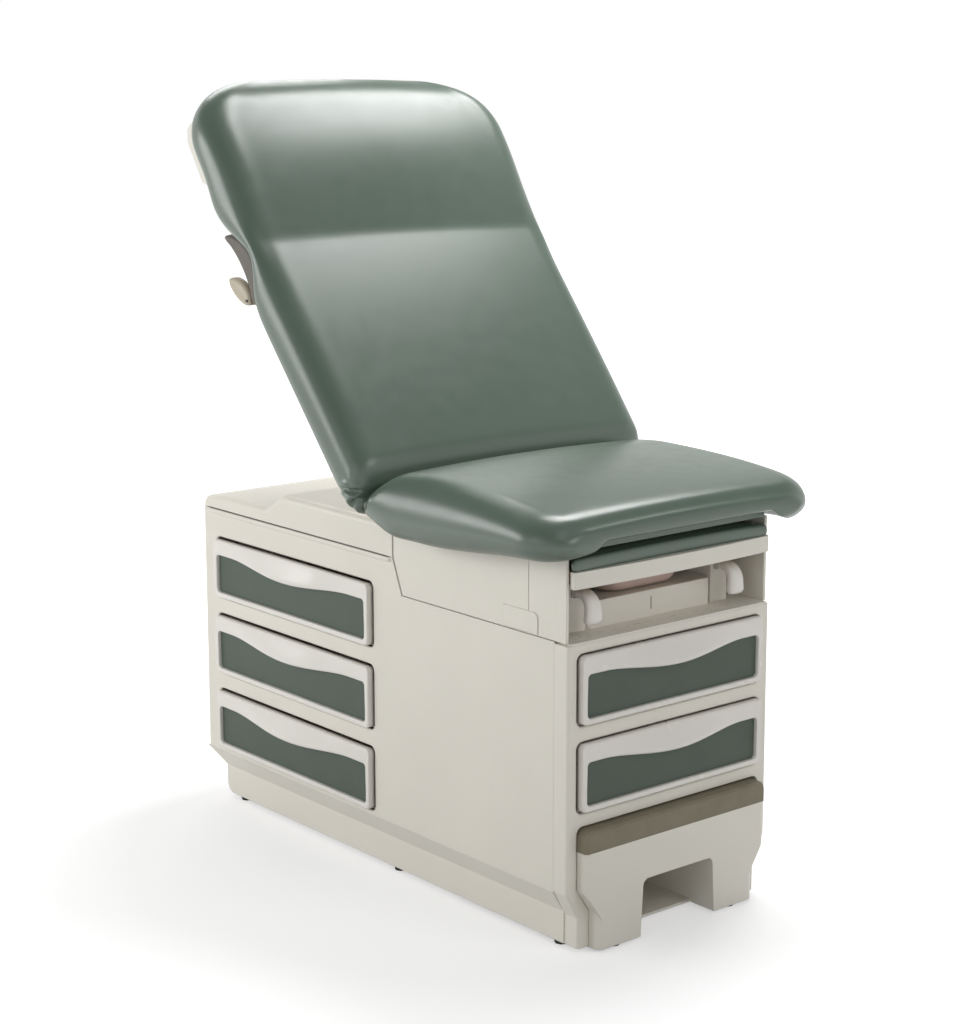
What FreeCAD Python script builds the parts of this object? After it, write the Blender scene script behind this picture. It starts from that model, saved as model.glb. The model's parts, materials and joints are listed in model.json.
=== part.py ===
import FreeCAD, Part
import math
import os
import re

import Sketcher

# Examination table with a tilting backrest, pass-through side drawers, front drawers, a pull-out
# step, a pull-out footrest, a treatment pan and two stirrups. Millimetres, +Z up, the foot end
# faces -Y. The origin is on the floor under the middle of the base.

DIMENSIONS = {
    # base cabinet
    "base_width": 515,
    "base_front": 588,
    "base_rear": 605,
    "panel_thick": 4,
    "corner_return": 40,
    "corner_round": 12,
    "foot_height": 8,
    "plinth_top": 70,
    "shoulder_z": 112,
    "plinth_inset": 26,
    "plinth_rear_inset": 36,
    "plinth_round": 24,
    "parting_z": 653,
    "front_top_z": 579,
    "frame_depth": 37,
    "stile_width": 22.5,
    "leg_inset": 28,
    "leg_width": 26,
    "step_bay_depth": 345,
    # top cover and seat housing
    "cover_high_z": 720,
    "cover_low_z": 684,
    "ramp_start": 890,
    "ramp_end": 948,
    "cover_round": 15,
    "rear_fall": 9,
    "housing_z": 582,
    "housing_end": 512,
    "slant_start": 483,
    "housing_wall": 6,
    "housing_inset": 2,
    "housing_setback": 8,
    # drawers
    "drawer_height": 134,
    "recess_round": 14,
    "recess_bevel": 2.5,
    "side_recess_start": 576,
    "side_recess_length": 564,
    "side_recess_z": 121,
    "side_pitch": 169,
    "front_recess_z": 264,
    "front_pitch": 163,
    "front_gap": 4,
    "front_proud": 12,
    "front_back": 4,
    "window_border": 12,
    "window_bottom": 15,
    "window_top": 97,
    "window_deep": 10,
    "insert_thick": 2.5,
    "lip_dip": 15,
    "lip_top": 124,
    "lip_thick": 14,
    "lip_bow": 7,
    "tray_wall": 3,
    "tray_depth": 112,
    "rail_width": 30,
    "rail_height": 10,
    # step
    "step_top_z": 236,
    "tread_z": 195,
    "step_half": 233,
    "step_foot_half": 203,
    "step_proud": 25,
    "step_length": 300,
    "step_wall": 5,
    "step_lift": 5,
    "arch_half": 96,
    "arch_top_z": 115,
    # seat
    "deck_z": 748,
    "deck_thick": 12,
    "deck_half": 262,
    "seat_top_z": 845,
    "seat_rise": 8,
    "seat_half": 354,
    "seat_front_over": 52,
    # footrest, pan and stirrups
    "footrest_z": 695,
    "footrest_thick": 18,
    "footrest_half": 245,
    "footrest_length": 452,
    "bar_low_z": 682,
    "bar_high_z": 713,
    "bar_half": 248,
    "bar_bow": 9,
    "pad_high": 31,
    "pan_half": 98,
    "pan_length": 300,
    "pan_depth": 32,
    "pan_rim_z": 667,
    "stirrup_x": 182,
    "stirrup_wide": 26,
    "stirrup_thick": 18,
    "stirrup_z": 657,
    "guide_half": 22,
    "console_half": 158,
    "console_high": 51,
    # backrest, described lying flat with the hinge axis as its own origin
    "hinge_y": -84.5,
    "hinge_z": 736,
    "back_angle": 50.6,
    "back_lift": 15,
    "back_start": 46,
    "back_length": 936,
    "back_thick": 97,
    "back_half_low": 372,
    "back_half_high": 387,
    "back_tuck": 15,
    "bend_at": 532,
    "bend_angle": 5.6,
    "fold_half_angle": 7.7,
    "grip_half": 358,
    "grip_wide": 30,
    "crank_reach": 75,
    "crank_angle": 122.5,
    "pin_radius": 6,
    "crank_pin_radius": 5,
    "running_gap": 0.05,
    "slide_gap": 0.4,
}

doc = FreeCAD.newDocument("examination_table")
dims = doc.addObject("Spreadsheet::Sheet", "dims")
for row, (alias, number) in enumerate(DIMENSIONS.items(), 1):
    dims.set(f"A{row}", alias)
    dims.set(f"B{row}", str(number))
    dims.setAlias(f"B{row}", alias)
doc.recompute()

FRONT = "(-base_front)"
REAR = "base_rear"
LEFT = "(-base_width/2)"
RIGHT = "(base_width/2)"
HOUSING_END = "(housing_end - base_front)"
SLANT = "(slant_start - base_front)"
STILE = "(base_width/2 - stile_width)"
LEG_OUT = "(base_width/2 - leg_inset)"
LEG_IN = "(base_width/2 - leg_inset - leg_width)"
DECK_TOP = "(deck_z + deck_thick)"

WORD = re.compile(r"[A-Za-z_][A-Za-z_0-9]*")
nodes = []


# Small helpers

def bind(text):
    """The text as an expression, with every dimension's name pointing at the sheet."""
    return WORD.sub(lambda m: f"dims.{m.group(0)}" if m.group(0) in DIMENSIONS else m.group(0), text)


def size(text):
    """The number that an expression on the sheet's dimensions gives."""
    return float(dims.evalExpression(bind(text)))


def keep(piece, label):
    """Name a finished sub-part, which becomes a node of that name."""
    piece.Label = label
    nodes.append(piece)
    return piece


def new_body(label):
    return keep(doc.addObject("PartDesign::Body", label), label)


def origin_plane(body, plane):
    return next(f for f in body.Origin.OriginFeatures if f.Role == plane + "_Plane")


def rectangle(low_u, high_u, low_v, high_v):
    return [(low_u, low_v), (high_u, low_v), (high_u, high_v), (low_u, high_v)]


def arc_edge(start, end, sagitta):
    """Arc from start to end that stands off their chord by the sagitta, to its right."""
    chord = end - start
    side = FreeCAD.Vector(chord.y, -chord.x, 0).normalize()
    middle = (start + end) * 0.5 + side * sagitta
    if sagitta < 0:
        return Part.ArcOfCircle(end, middle, start)
    return Part.ArcOfCircle(start, middle, end)


def outline(body, plane, at, points):
    """Closed sketch through points of two expressions; a third one bows the edge that follows."""
    sketch = body.newObject("Sketcher::SketchObject", body.Name + "_outline")
    sketch.AttachmentSupport = (origin_plane(body, plane), [""])
    sketch.MapMode = "FlatFace"
    sign = "-" if plane == "XZ" else ""
    sketch.setExpression("AttachmentOffset.Base.z", bind(f"{sign}({at})"))
    corners = [FreeCAD.Vector(size(p[0]), size(p[1]), 0) for p in points]
    count = len(points)
    edges = []
    for i, point in enumerate(points):
        start, end = corners[i], corners[(i + 1) % count]
        if len(point) == 3:
            edges.append(arc_edge(start, end, size(point[2])))
        else:
            edges.append(Part.LineSegment(start, end))
    sketch.addGeometry(edges, False)
    rules, texts = [], []
    for i, point in enumerate(points):
        following = (i + 1) % count
        first, last = ends_of(edges[i], corners[i])
        next_first = ends_of(edges[following], corners[following])[0]
        rules.append(Sketcher.Constraint("Coincident", i, last, following, next_first))
        texts.append(None)
        for axis, text in zip(("DistanceX", "DistanceY"), point):
            rules.append(Sketcher.Constraint(axis, -1, 1, i, first, size(text)))
            texts.append(text)
        if len(point) == 3:
            rules.append(Sketcher.Constraint("Radius", i, edges[i].Radius))
            texts.append(bow_radius(point, points[following]))
    sketch.addConstraint(rules)
    for i, text in enumerate(texts):
        if text:
            sketch.setExpression(f"Constraints[{i}]", bind(text))
    return sketch


def ends_of(edge, corner):
    """Which ends of a sketch edge are its first and last: an arc always runs anticlockwise."""
    if (edge.StartPoint - corner).Length < 1e-6:
        return 1, 2
    return 2, 1


def bow_radius(point, following):
    half_square = f"((({following[0]}) - ({point[0]}))^2 + (({following[1]}) - ({point[1]}))^2)/4"
    return f"({half_square} + ({point[2]})^2)/(2*abs({point[2]}))"


def pad(body, plane, at, points, length, towards="+"):
    """Add material from a sketch, towards the plus or minus side of the plane's axis."""
    sketch = outline(body, plane, at, points)
    feature = body.newObject("PartDesign::Pad", body.Name + "_pad")
    feature.Profile = sketch
    feature.setExpression("Length", bind(length))
    feature.Reversed = (towards == "+") == (plane == "XZ")
    return feature


def pocket(body, plane, at, points, length, towards="+"):
    """Cut a sketch's area out of the body, and make sure that something was cut."""
    doc.recompute()
    before = body.Shape.Volume
    sketch = outline(body, plane, at, points)
    feature = body.newObject("PartDesign::Pocket", body.Name + "_pocket")
    feature.Profile = sketch
    feature.setExpression("Length", bind(length))
    feature.Reversed = (towards == "+") != (plane == "XZ")
    doc.recompute()
    if body.Shape.Volume > before - 1e-3:
        raise RuntimeError(f"{body.Label}: a pocket cut nothing")
    return feature


def runs_along(edge, axis):
    if edge.Curve.TypeId != "Part::GeomLine":
        return False
    return abs(getattr(edge.Curve.Direction, axis)) > 0.999


def edges_along(body, axis, where):
    """The body's latest feature, with its straight edges along an axis whose middle passes the test."""
    doc.recompute()
    base = body.Tip
    chosen = [
        f"Edge{i}"
        for i, edge in enumerate(base.Shape.Edges, 1)
        if runs_along(edge, axis) and where(edge.CenterOfMass)
    ]
    return base, chosen


def round_edges(body, radius, axis, where):
    chosen = edges_along(body, axis, where)
    fillet = body.newObject("PartDesign::Fillet", body.Name + "_round")
    fillet.Base = chosen
    fillet.setExpression("Radius", bind(radius))


def bevel_edges(body, width, axis, where):
    chosen = edges_along(body, axis, where)
    chamfer = body.newObject("PartDesign::Chamfer", body.Name + "_bevel")
    chamfer.Base = chosen
    chamfer.setExpression("Size", bind(width))


def bore(body, radius, position, axis, length):
    """Round hole through a body, along X or Y."""
    hole = body.newObject("PartDesign::SubtractiveCylinder", body.Name + "_bore")
    place_round(hole, radius, position, axis, length)
    return hole


def place_round(piece, radius, position, axis, length):
    turn = {"x": ((0, 1, 0), 90), "y": ((1, 0, 0), -90), "z": ((0, 0, 1), 0)}[axis]
    piece.setExpression("Radius", bind(radius))
    piece.setExpression("Height", bind(length))
    piece.Placement = FreeCAD.Placement(
        FreeCAD.Vector(0, 0, 0), FreeCAD.Rotation(FreeCAD.Vector(*turn[0]), turn[1])
    )
    for letter, text in zip("xyz", position):
        piece.setExpression(f"Placement.Base.{letter}", bind(text))


def rod(radius, position, axis, length):
    piece = doc.addObject("Part::Cylinder", "round_bar")
    place_round(piece, radius, position, axis, length)
    return piece


def floor_pad(radius, position, height):
    """Eight-sided pad that stands on the floor."""
    piece = doc.addObject("Part::Prism", "floor_pad")
    piece.Polygon = 8
    piece.setExpression("Circumradius", bind(radius))
    piece.setExpression("Height", bind(height))
    for letter, text in zip("xyz", position):
        piece.setExpression(f"Placement.Base.{letter}", bind(text))
    return piece


def block(x_range, y_range, z_range):
    piece = doc.addObject("Part::Box", "block")
    for side, letter, (low, high) in zip(
        ("Length", "Width", "Height"), "xyz", (x_range, y_range, z_range)
    ):
        piece.setExpression(side, bind(f"({high}) - ({low})"))
        piece.setExpression(f"Placement.Base.{letter}", bind(low))
    return piece


def cut(piece, tool):
    result = doc.addObject("Part::Cut", "cut")
    result.Base = piece
    result.Tool = tool
    return result


def fuse(piece, other):
    result = doc.addObject("Part::Fuse", "fused")
    result.Base = piece
    result.Tool = other
    return result


def group(label, pieces):
    """Like pieces that share a node, as separate solids."""
    result = doc.addObject("Part::Compound", label)
    result.Links = pieces
    return keep(result, label)


def mirror_of(piece):
    result = doc.addObject("Part::Mirroring", piece.Name + "_mirror")
    result.Source = piece
    result.Normal = FreeCAD.Vector(1, 0, 0)
    return result


def both_sides(label, pieces):
    return group(label, pieces + [mirror_of(p) for p in pieces])


def raised_place():
    return FreeCAD.Placement(
        FreeCAD.Vector(0, size("hinge_y"), size("hinge_z")),
        FreeCAD.Rotation(FreeCAD.Vector(1, 0, 0), size("back_angle")),
    )


def lean_back(piece):
    """Turn a piece drawn lying flat about the backrest's hinge axis to its raised place."""
    piece.Placement = raised_place()
    piece.setExpression("Placement.Base.y", bind("hinge_y"))
    piece.setExpression("Placement.Base.z", bind("hinge_z"))
    piece.setExpression("Placement.Rotation.Angle", bind("back_angle"))


# Base cabinet

def make_side_panels():
    panel = new_body("side_panel_left")
    inner = f"{LEFT} + panel_thick"
    pad(panel, "XY", "shoulder_z", [
        (LEFT, f"{FRONT} + frame_depth"),
        (LEFT, REAR),
        (f"{LEFT} + corner_return", REAR),
        (f"{LEFT} + corner_return", f"{REAR} - panel_thick"),
        (inner, f"{REAR} - panel_thick"),
        (inner, f"{FRONT} + frame_depth"),
    ], "parting_z - shoulder_z")
    outside = f"{LEFT} - 1"
    through = "panel_thick + 2"
    pocket(panel, "YZ", outside, [
        (FRONT, "housing_z"),
        (SLANT, "housing_z"),
        (HOUSING_END, "parting_z"),
        (HOUSING_END, "parting_z + 9"),
        (FRONT, "parting_z + 9"),
    ], through)
    start = f"{FRONT} + side_recess_start"
    for level in range(3):
        low = f"side_recess_z + {level}*side_pitch"
        window = rectangle(start, f"{start} + side_recess_length", low, f"{low} + drawer_height")
        pocket(panel, "YZ", outside, window, through)
    lowest, highest = size(start) - 1, size(f"{start} + side_recess_length") + 1
    round_edges(panel, "recess_round", "x",
                lambda p: lowest < p.y < highest and p.z < size("parting_z") - 9)
    soften_face(panel, "recess_bevel", "X", size(LEFT),
                lambda p: lowest < p.y < highest and size("shoulder_z") + 2 < p.z < size("parting_z") - 9)
    corner_x = size(LEFT) + 1
    round_edges(panel, "corner_round", "z",
                lambda p: p.x < corner_x and p.y > size(REAR) - 1)
    keep(mirror_of(panel), "side_panel_right")


def make_rear_panel():
    panel = new_body("rear_panel")
    pad(panel, "XZ", f"{REAR} - panel_thick", rectangle(
        f"{LEFT} + corner_return", f"{RIGHT} - corner_return", "shoulder_z", "parting_z",
    ), "panel_thick")


def tray_form(name, inset):
    """Outer or inner form of the base tray: sloping shoulder above a straight plinth."""
    body = doc.addObject("PartDesign::Body", name)
    front = f"{FRONT} + frame_depth"
    upper = rectangle(f"{LEFT} + {inset}", f"{RIGHT} - {inset}", front, f"{REAR} - {inset}")
    low_side = f"(plinth_inset + {inset})"
    lower = rectangle(
        f"{LEFT} + {low_side}", f"{RIGHT} - {low_side}", front, f"{REAR} - plinth_rear_inset - {inset}"
    )
    loft = body.newObject("PartDesign::AdditiveLoft", name + "_shoulder")
    loft.Profile = outline(body, "XY", "shoulder_z", upper)
    loft.Sections = [outline(body, "XY", "plinth_top", lower)]
    floor = "foot_height" if inset == "0" else "foot_height + panel_thick"
    pad(body, "XY", floor, lower, f"plinth_top - ({floor})")
    rear = size(f"{REAR} - plinth_rear_inset - {inset}")
    round_edges(body, f"plinth_round - {inset}", "x", lambda p: abs(p.y - rear) < 1 and p.z < 20)
    return body


def make_base_tray():
    shell = cut(tray_form("tray_outer", "0"), tray_form("tray_inner", "panel_thick"))
    inner = "(plinth_inset + panel_thick)"
    bay = block(
        (f"{LEFT} + {inner}", f"{RIGHT} - {inner}"),
        (f"{FRONT} + frame_depth - 1", f"{FRONT} + step_bay_depth"),
        ("0", "foot_height + panel_thick + 1"),
    )
    keep(cut(shell, bay), "base_tray")


def make_front_frame():
    frame = new_body("front_frame")
    step_roof = "step_top_z + 4"
    knee_out, ankle_out = "shoulder_z + 4", "plinth_top - 4"
    knee_in, ankle_in = "shoulder_z + 11", "plinth_top + 5"
    right = [
        (RIGHT, "front_top_z"),
        (RIGHT, knee_out),
        (LEG_OUT, ankle_out),
        (LEG_OUT, "foot_height"),
        (LEG_IN, "foot_height"),
        (LEG_IN, ankle_in),
        (STILE, knee_in),
        (STILE, step_roof),
    ]
    left = [(f"-{x}", z) for x, z in reversed(right)]
    pad(frame, "XZ", FRONT, right + left, "frame_depth")
    for level in range(2):
        low = f"front_recess_z + {level}*front_pitch"
        window = rectangle(f"-{STILE}", STILE, low, f"{low} + drawer_height")
        pocket(frame, "XZ", f"{FRONT} - 1", window, "frame_depth + 2")
    stile, half = size(STILE), size(RIGHT)
    roof = size(step_roof)
    round_edges(frame, "recess_round", "y",
                lambda p: abs(abs(p.x) - stile) < 1 and roof - 1 < p.z)
    soften_face(frame, "recess_bevel", "Y", size(FRONT),
                lambda p: abs(p.x) < stile + 1 and roof + 9 < p.z < size("front_top_z") - 5)
    leg_out, knee = size(LEG_OUT), size(knee_out)
    round_edges(frame, "10", "y",
                lambda p: abs(abs(p.x) - leg_out) < 1 and p.z > 20
                or abs(abs(p.x) - half) < 1 and abs(p.z - knee) < 1)
    bevel_edges(frame, "3.5", "z", lambda p: abs(abs(p.x) - half) < 1 and p.y < size(FRONT) + 1)


def make_top_cover():
    cover = new_body("top_cover")
    ramp_top, ramp_foot = f"{FRONT} + ramp_start", f"{FRONT} + ramp_end"
    pad(cover, "YZ", LEFT, [
        (HOUSING_END, "parting_z"),
        (REAR, "parting_z"),
        (REAR, "cover_low_z - rear_fall"),
        (f"{REAR} - 62", "cover_low_z"),
        (ramp_foot, "cover_low_z"),
        (ramp_top, "cover_high_z"),
        (HOUSING_END, "cover_high_z"),
    ], "base_width")
    low, high = size("cover_low_z"), size("cover_high_z")
    foot, top = size(ramp_foot), size(ramp_top)
    round_edges(cover, "34", "x",
                lambda p: abs(p.y - foot) < 1 and abs(p.z - low) < 1 or abs(p.y - top) < 1)
    rear = size(REAR)
    round_edges(cover, "20", "x", lambda p: abs(p.y - rear) < 1 and p.z > size("parting_z") + 1)
    edge_round_top(cover)
    wall = "panel_thick"
    edge = "9"
    pocket(cover, "YZ", f"{LEFT} + {edge}", [
        (f"{HOUSING_END} + {wall}", "parting_z - 1"),
        (f"{REAR} - {edge}", "parting_z - 1"),
        (f"{REAR} - {edge}", "parting_z + 6"),
        (f"{REAR} - 34", f"cover_low_z - {wall} - 5"),
        (f"{ramp_foot} - {wall}", f"cover_low_z - {wall} - 5"),
        (f"{ramp_top} - {wall}", f"cover_high_z - {wall}"),
        (f"{HOUSING_END} + {wall}", f"cover_high_z - {wall}"),
    ], f"base_width - 2*{edge}")
    pocket(cover, "XY", "cover_high_z + 1", rectangle(
        "-26", "26", f"{HOUSING_END} - 1", f"{HOUSING_END} + 62",
    ), "90", "-")


def edge_round_top(cover):
    """Round the cover's long side edges and its upright rear corners, all in one."""
    doc.recompute()
    base = cover.Tip
    half, rear = size(RIGHT), size(REAR)
    parting = size("parting_z") + 1
    chosen = []
    for i, edge in enumerate(base.Shape.Edges, 1):
        middle = edge.CenterOfMass
        on_side = abs(abs(middle.x) - half) < 0.5
        at_rear = abs(middle.y - rear) < 0.5
        level_edge = abs(edge.BoundBox.ZLength) < 60 and middle.z > parting
        upright = runs_along(edge, "z")
        long_side = on_side and level_edge and not upright
        if long_side or upright and on_side and at_rear:
            chosen.append(f"Edge{i}")
    fillet = cover.newObject("PartDesign::Fillet", "cover_round_edge")
    fillet.Base = (base, chosen)
    fillet.setExpression("Radius", bind("cover_round"))


def make_seat_housing():
    wall = new_body("seat_housing_left")
    outer = f"{LEFT} + housing_inset"
    front = f"{FRONT} + housing_setback"
    pad(wall, "YZ", outer, [
        (front, "housing_z + 1"),
        (f"{SLANT} - 1", "housing_z + 1"),
        (f"{HOUSING_END} - 1.5", "parting_z + 1"),
        (f"{HOUSING_END} - 1.5", "deck_z"),
        (front, "deck_z"),
    ], "housing_wall")
    tab_front = f"{FRONT} + 83"
    pad(wall, "YZ", f"{outer} - 1.6", rectangle(
        tab_front, f"{tab_front} + 96", "housing_z + 4", "housing_z + 43",
    ), "2")
    corner = size(tab_front)
    round_edges(wall, "12", "x",
                lambda p: abs(p.y - corner) < 1 and abs(p.z - size("housing_z + 43")) < 1)
    pocket(wall, "YZ", f"{outer} - 1", rectangle(
        f"{FRONT} + 108", f"{FRONT} + 110", "housing_z + 43", "deck_z - 6",
    ), "2")
    keep(mirror_of(wall), "seat_housing_right")


def make_bulkhead():
    sheet_half = f"{RIGHT} - panel_thick"
    keep(block(
        (f"-({sheet_half})", sheet_half),
        ("-44", "-40"),
        ("shoulder_z", "600"),
    ), "bulkhead")


def make_feet():
    """Six levelling feet under the tray's long edges, and a fixed one under its middle."""
    feet = [floor_pad("13", ("0", "0", "0"), "foot_height")]
    across = f"{RIGHT} - plinth_inset - 15"
    for along in (f"{FRONT} + 60", f"{FRONT} + 545", f"{REAR} - 90"):
        for side in ("-", ""):
            x = f"{side}({across})"
            feet.append(floor_pad("13", (x, along, "0"), "foot_height"))
    group("leveling_feet", feet)


# Drawers

def drawer_front(name, length):
    """Moulded front in its own frame: X along it, Z up from the recess floor, face towards -Y."""
    front = doc.addObject("PartDesign::Body", name)
    half = f"({length}/2 - front_gap)"
    pad(front, "XZ", "-front_proud", rectangle(
        f"-{half}", half, "front_gap", "drawer_height - front_gap",
    ), "front_proud + front_back")
    edge = size(half)
    round_edges(front, "recess_round - front_gap", "y", lambda p: abs(abs(p.x) - edge) < 1)
    soften_face(front, "3.5", "Y", size("-front_proud"))
    opening = f"({length}/2 - front_gap - window_border)"
    pocket(front, "XZ", "-front_proud", rectangle(
        f"-{opening}", opening, "window_bottom", "window_top",
    ), "window_deep")
    inner = size(opening)
    round_edges(front, "9", "y", lambda p: abs(abs(p.x) - inner) < 1)
    return front


def soften_face(body, width, axis, face, where=lambda p: True):
    """Chamfer the edges that lie in a flat face square to an axis and pass the test."""
    doc.recompute()
    base = body.Tip
    chosen = []
    for i, edge in enumerate(base.Shape.Edges, 1):
        low, high = getattr(edge.BoundBox, axis + "Min"), getattr(edge.BoundBox, axis + "Max")
        if abs(low - face) < 0.01 and abs(high - face) < 0.01 and where(edge.CenterOfMass):
            chosen.append(f"Edge{i}")
    chamfer = body.newObject("PartDesign::Chamfer", body.Name + "_soft")
    chamfer.Base = (base, chosen)
    chamfer.setExpression("Size", bind(width))


def drawer_pull(name, length):
    """Pull lip that swells out of a front's top band and hangs over its window, lowest in the middle."""
    pull = doc.addObject("PartDesign::Body", name)
    half = f"({length}*0.46)"
    face, nose = "-front_proud", "(-front_proud - lip_thick)"
    lowest = "(window_top - lip_dip)"
    pad(pull, "XZ", nose, [
        (half, "lip_top"),
        (f"-{half}", "lip_top", f"lip_top - {lowest}"),
    ], "lip_thick")
    pocket(pull, "YZ", f"-{half} - 1", [
        (nose, lowest, "-lip_bow"),
        (face, "lip_top"),
        (face, "lip_top + 20"),
        (f"{nose} - 20", "lip_top + 20"),
        (f"{nose} - 20", lowest),
    ], f"2*{half} + 2")
    return pull


def drawer_insert(name, length):
    """Coloured plate that lies in the window of a moulded front."""
    insert = doc.addObject("PartDesign::Body", name)
    half = f"({length}/2 - front_gap - window_border - 0.5)"
    pad(insert, "XZ", "window_deep - front_proud", rectangle(
        f"-{half}", half, "window_bottom + 0.5", "window_top - 0.5",
    ), "insert_thick", "-")
    edge = size(half)
    bevel_edges(insert, "5.5", "y", lambda p: abs(abs(p.x) - edge) < 1)
    return insert


def open_tray(label, x_range, y_range, z_low):
    tray = new_body(label)
    (x_low, x_high), (y_low, y_high) = x_range, y_range
    pad(tray, "XY", z_low, rectangle(x_low, x_high, y_low, y_high), "tray_depth")
    wall = "tray_wall"
    pocket(tray, "XY", f"{z_low} + {wall}", rectangle(
        f"{x_low} + {wall}", f"{x_high} - {wall}", f"{y_low} + {wall}", f"{y_high} - {wall}",
    ), "tray_depth")


def stand_at(piece, position, turn=0):
    piece.Placement = FreeCAD.Placement(
        FreeCAD.Vector(*[size(p) for p in position]),
        FreeCAD.Rotation(FreeCAD.Vector(0, 0, 1), turn),
    )
    for letter, text in zip("xyz", position):
        piece.setExpression(f"Placement.Base.{letter}", bind(text))
    return piece


def make_side_drawers():
    """Three pass-through drawers, with a front on each side of the table."""
    middle = f"{FRONT} + side_recess_start + side_recess_length/2"
    half = "(side_recess_length/2 - 8)"
    end = f"({RIGHT} - front_back - 0.5)"
    rails = []
    for level in range(3):
        name = f"side_drawer_{level + 1}"
        floor = f"side_recess_z + {level}*side_pitch"
        rail_top = f"{floor} + front_gap - 0.5"
        open_tray(f"{name}_tray", (f"-{end}", end), (f"{middle} - {half}", f"{middle} + {half}"),
                  f"{floor} + front_gap")
        for part, makers in (("fronts", (drawer_front, drawer_pull)), ("inserts", (drawer_insert,))):
            left = [
                stand_at(make(f"{name}_{make.__name__}", "side_recess_length"), (LEFT, middle, floor), -90)
                for make in makers
            ]
            both_sides(f"{name}_{part}", left)
        for offset in ("-200", "200"):
            centre = f"{middle} + {offset}"
            inside = f"({RIGHT} - panel_thick)"
            rails.append(block(
                (f"-{inside}", inside),
                (f"{centre} - rail_width/2", f"{centre} + rail_width/2"),
                (f"{rail_top} - rail_height", rail_top),
            ))
    group("side_drawer_rails", rails)


def make_front_drawers():
    half = f"({STILE} - 7)"
    rails = []
    for level in range(2):
        name = f"front_drawer_{level + 1}"
        floor = f"front_recess_z + {level}*front_pitch"
        rail_top = f"{floor} + front_gap - 0.5"
        open_tray(f"{name}_tray", (f"-{half}", half),
                  (f"{FRONT} + front_back + 0.5", "-80"), f"{floor} + front_gap")
        for part, makers in (("front", (drawer_front, drawer_pull)), ("insert", (drawer_insert,))):
            group(f"{name}_{part}", [
                stand_at(make(f"{name}_{make.__name__}", f"2*{STILE}"), ("0", FRONT, floor))
                for make in makers
            ])
        for offset in ("-170", "170"):
            rails.append(block(
                (f"{offset} - rail_width/2", f"{offset} + rail_width/2"),
                (f"{FRONT} + frame_depth", "-44"),
                (f"{rail_top} - rail_height", rail_top),
            ))
    group("front_drawer_rails", rails)


# Step

def step_outline(inset):
    """Right half of the step's front, from the top corner down to the arch."""
    knee, ankle = "shoulder_z + 9", "plinth_top + 6"
    return [
        (f"step_half - {inset}", f"tread_z - {inset}"),
        (f"step_half - {inset}", knee),
        (f"step_foot_half - {inset}", ankle),
        (f"step_foot_half - {inset}", "step_lift"),
    ]


def make_step():
    body = new_body("step_body")
    nose = f"{FRONT} - step_proud"
    arch = [("arch_half", "step_lift"), ("arch_half - 6", "arch_top_z")]
    right = step_outline("0") + arch
    left = [(f"-({x})", z) for x, z in reversed(right)]
    pad(body, "XZ", nose, right + left, "step_length")
    arch_half, arch_top = size("arch_half"), size("arch_top_z")
    round_edges(body, "14", "y", lambda p: abs(p.x) < arch_half and abs(p.z - arch_top) < 1)
    hollow_right = step_outline("step_wall") + [
        ("arch_half + step_wall", "step_lift"),
        ("arch_half + step_wall - 6", "arch_top_z + step_wall"),
    ]
    hollow_left = [(f"-({x})", z) for x, z in reversed(hollow_right)]
    pocket(body, "XZ", f"{nose} + step_wall", hollow_right + hollow_left, "step_length")
    pad(body, "XZ", f"{nose} + step_length - step_wall", rectangle(
        "-arch_half - 12", "arch_half + 12", "step_lift + 3", "arch_top_z + 12",
    ), "step_wall")
    toe_floor = f"{nose} + 64"
    pad(body, "XY", "step_lift", rectangle(
        "-arch_half - 2", "arch_half + 2", toe_floor, f"{nose} + step_length - 1",
    ), "5")
    half, foot = size("step_half"), size("step_foot_half")
    front = size(nose) + 1
    round_edges(body, "14", "z", lambda p: p.y < front and abs(abs(p.x) - half) < 1)
    round_edges(body, "14", "z", lambda p: p.y < front and abs(abs(p.x) - foot) < 1)

    tread = new_body("step_tread")
    pad(tread, "XY", "tread_z", rectangle(
        "-step_half", "step_half", nose, f"{nose} + step_length",
    ), "step_top_z - tread_z")
    round_edges(tread, "18", "y", lambda p: p.z > size("tread_z") + 9)
    bevel_edges(tread, "5", "z", lambda p: p.y < front)
    pocket(tread, "XY", "tread_z", rectangle(
        "-step_half + 9", "step_half - 9", f"{nose} + 9", f"{nose} + step_length - 9",
    ), "step_top_z - tread_z - 12")

    glides = [
        floor_pad("11.5", ("150", y, "0"), "step_lift")
        for y in (f"{nose} + 16", f"{nose} + step_length - 20")
    ]
    both_sides("step_glides", glides)
    rail = block(
        (f"step_half + slide_gap", f"{RIGHT} - panel_thick"),
        (f"{FRONT} + frame_depth", "-44"),
        ("150", "164"),
    )
    both_sides("step_rails", [rail])


# Stirrup bay, footrest and pan

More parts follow.
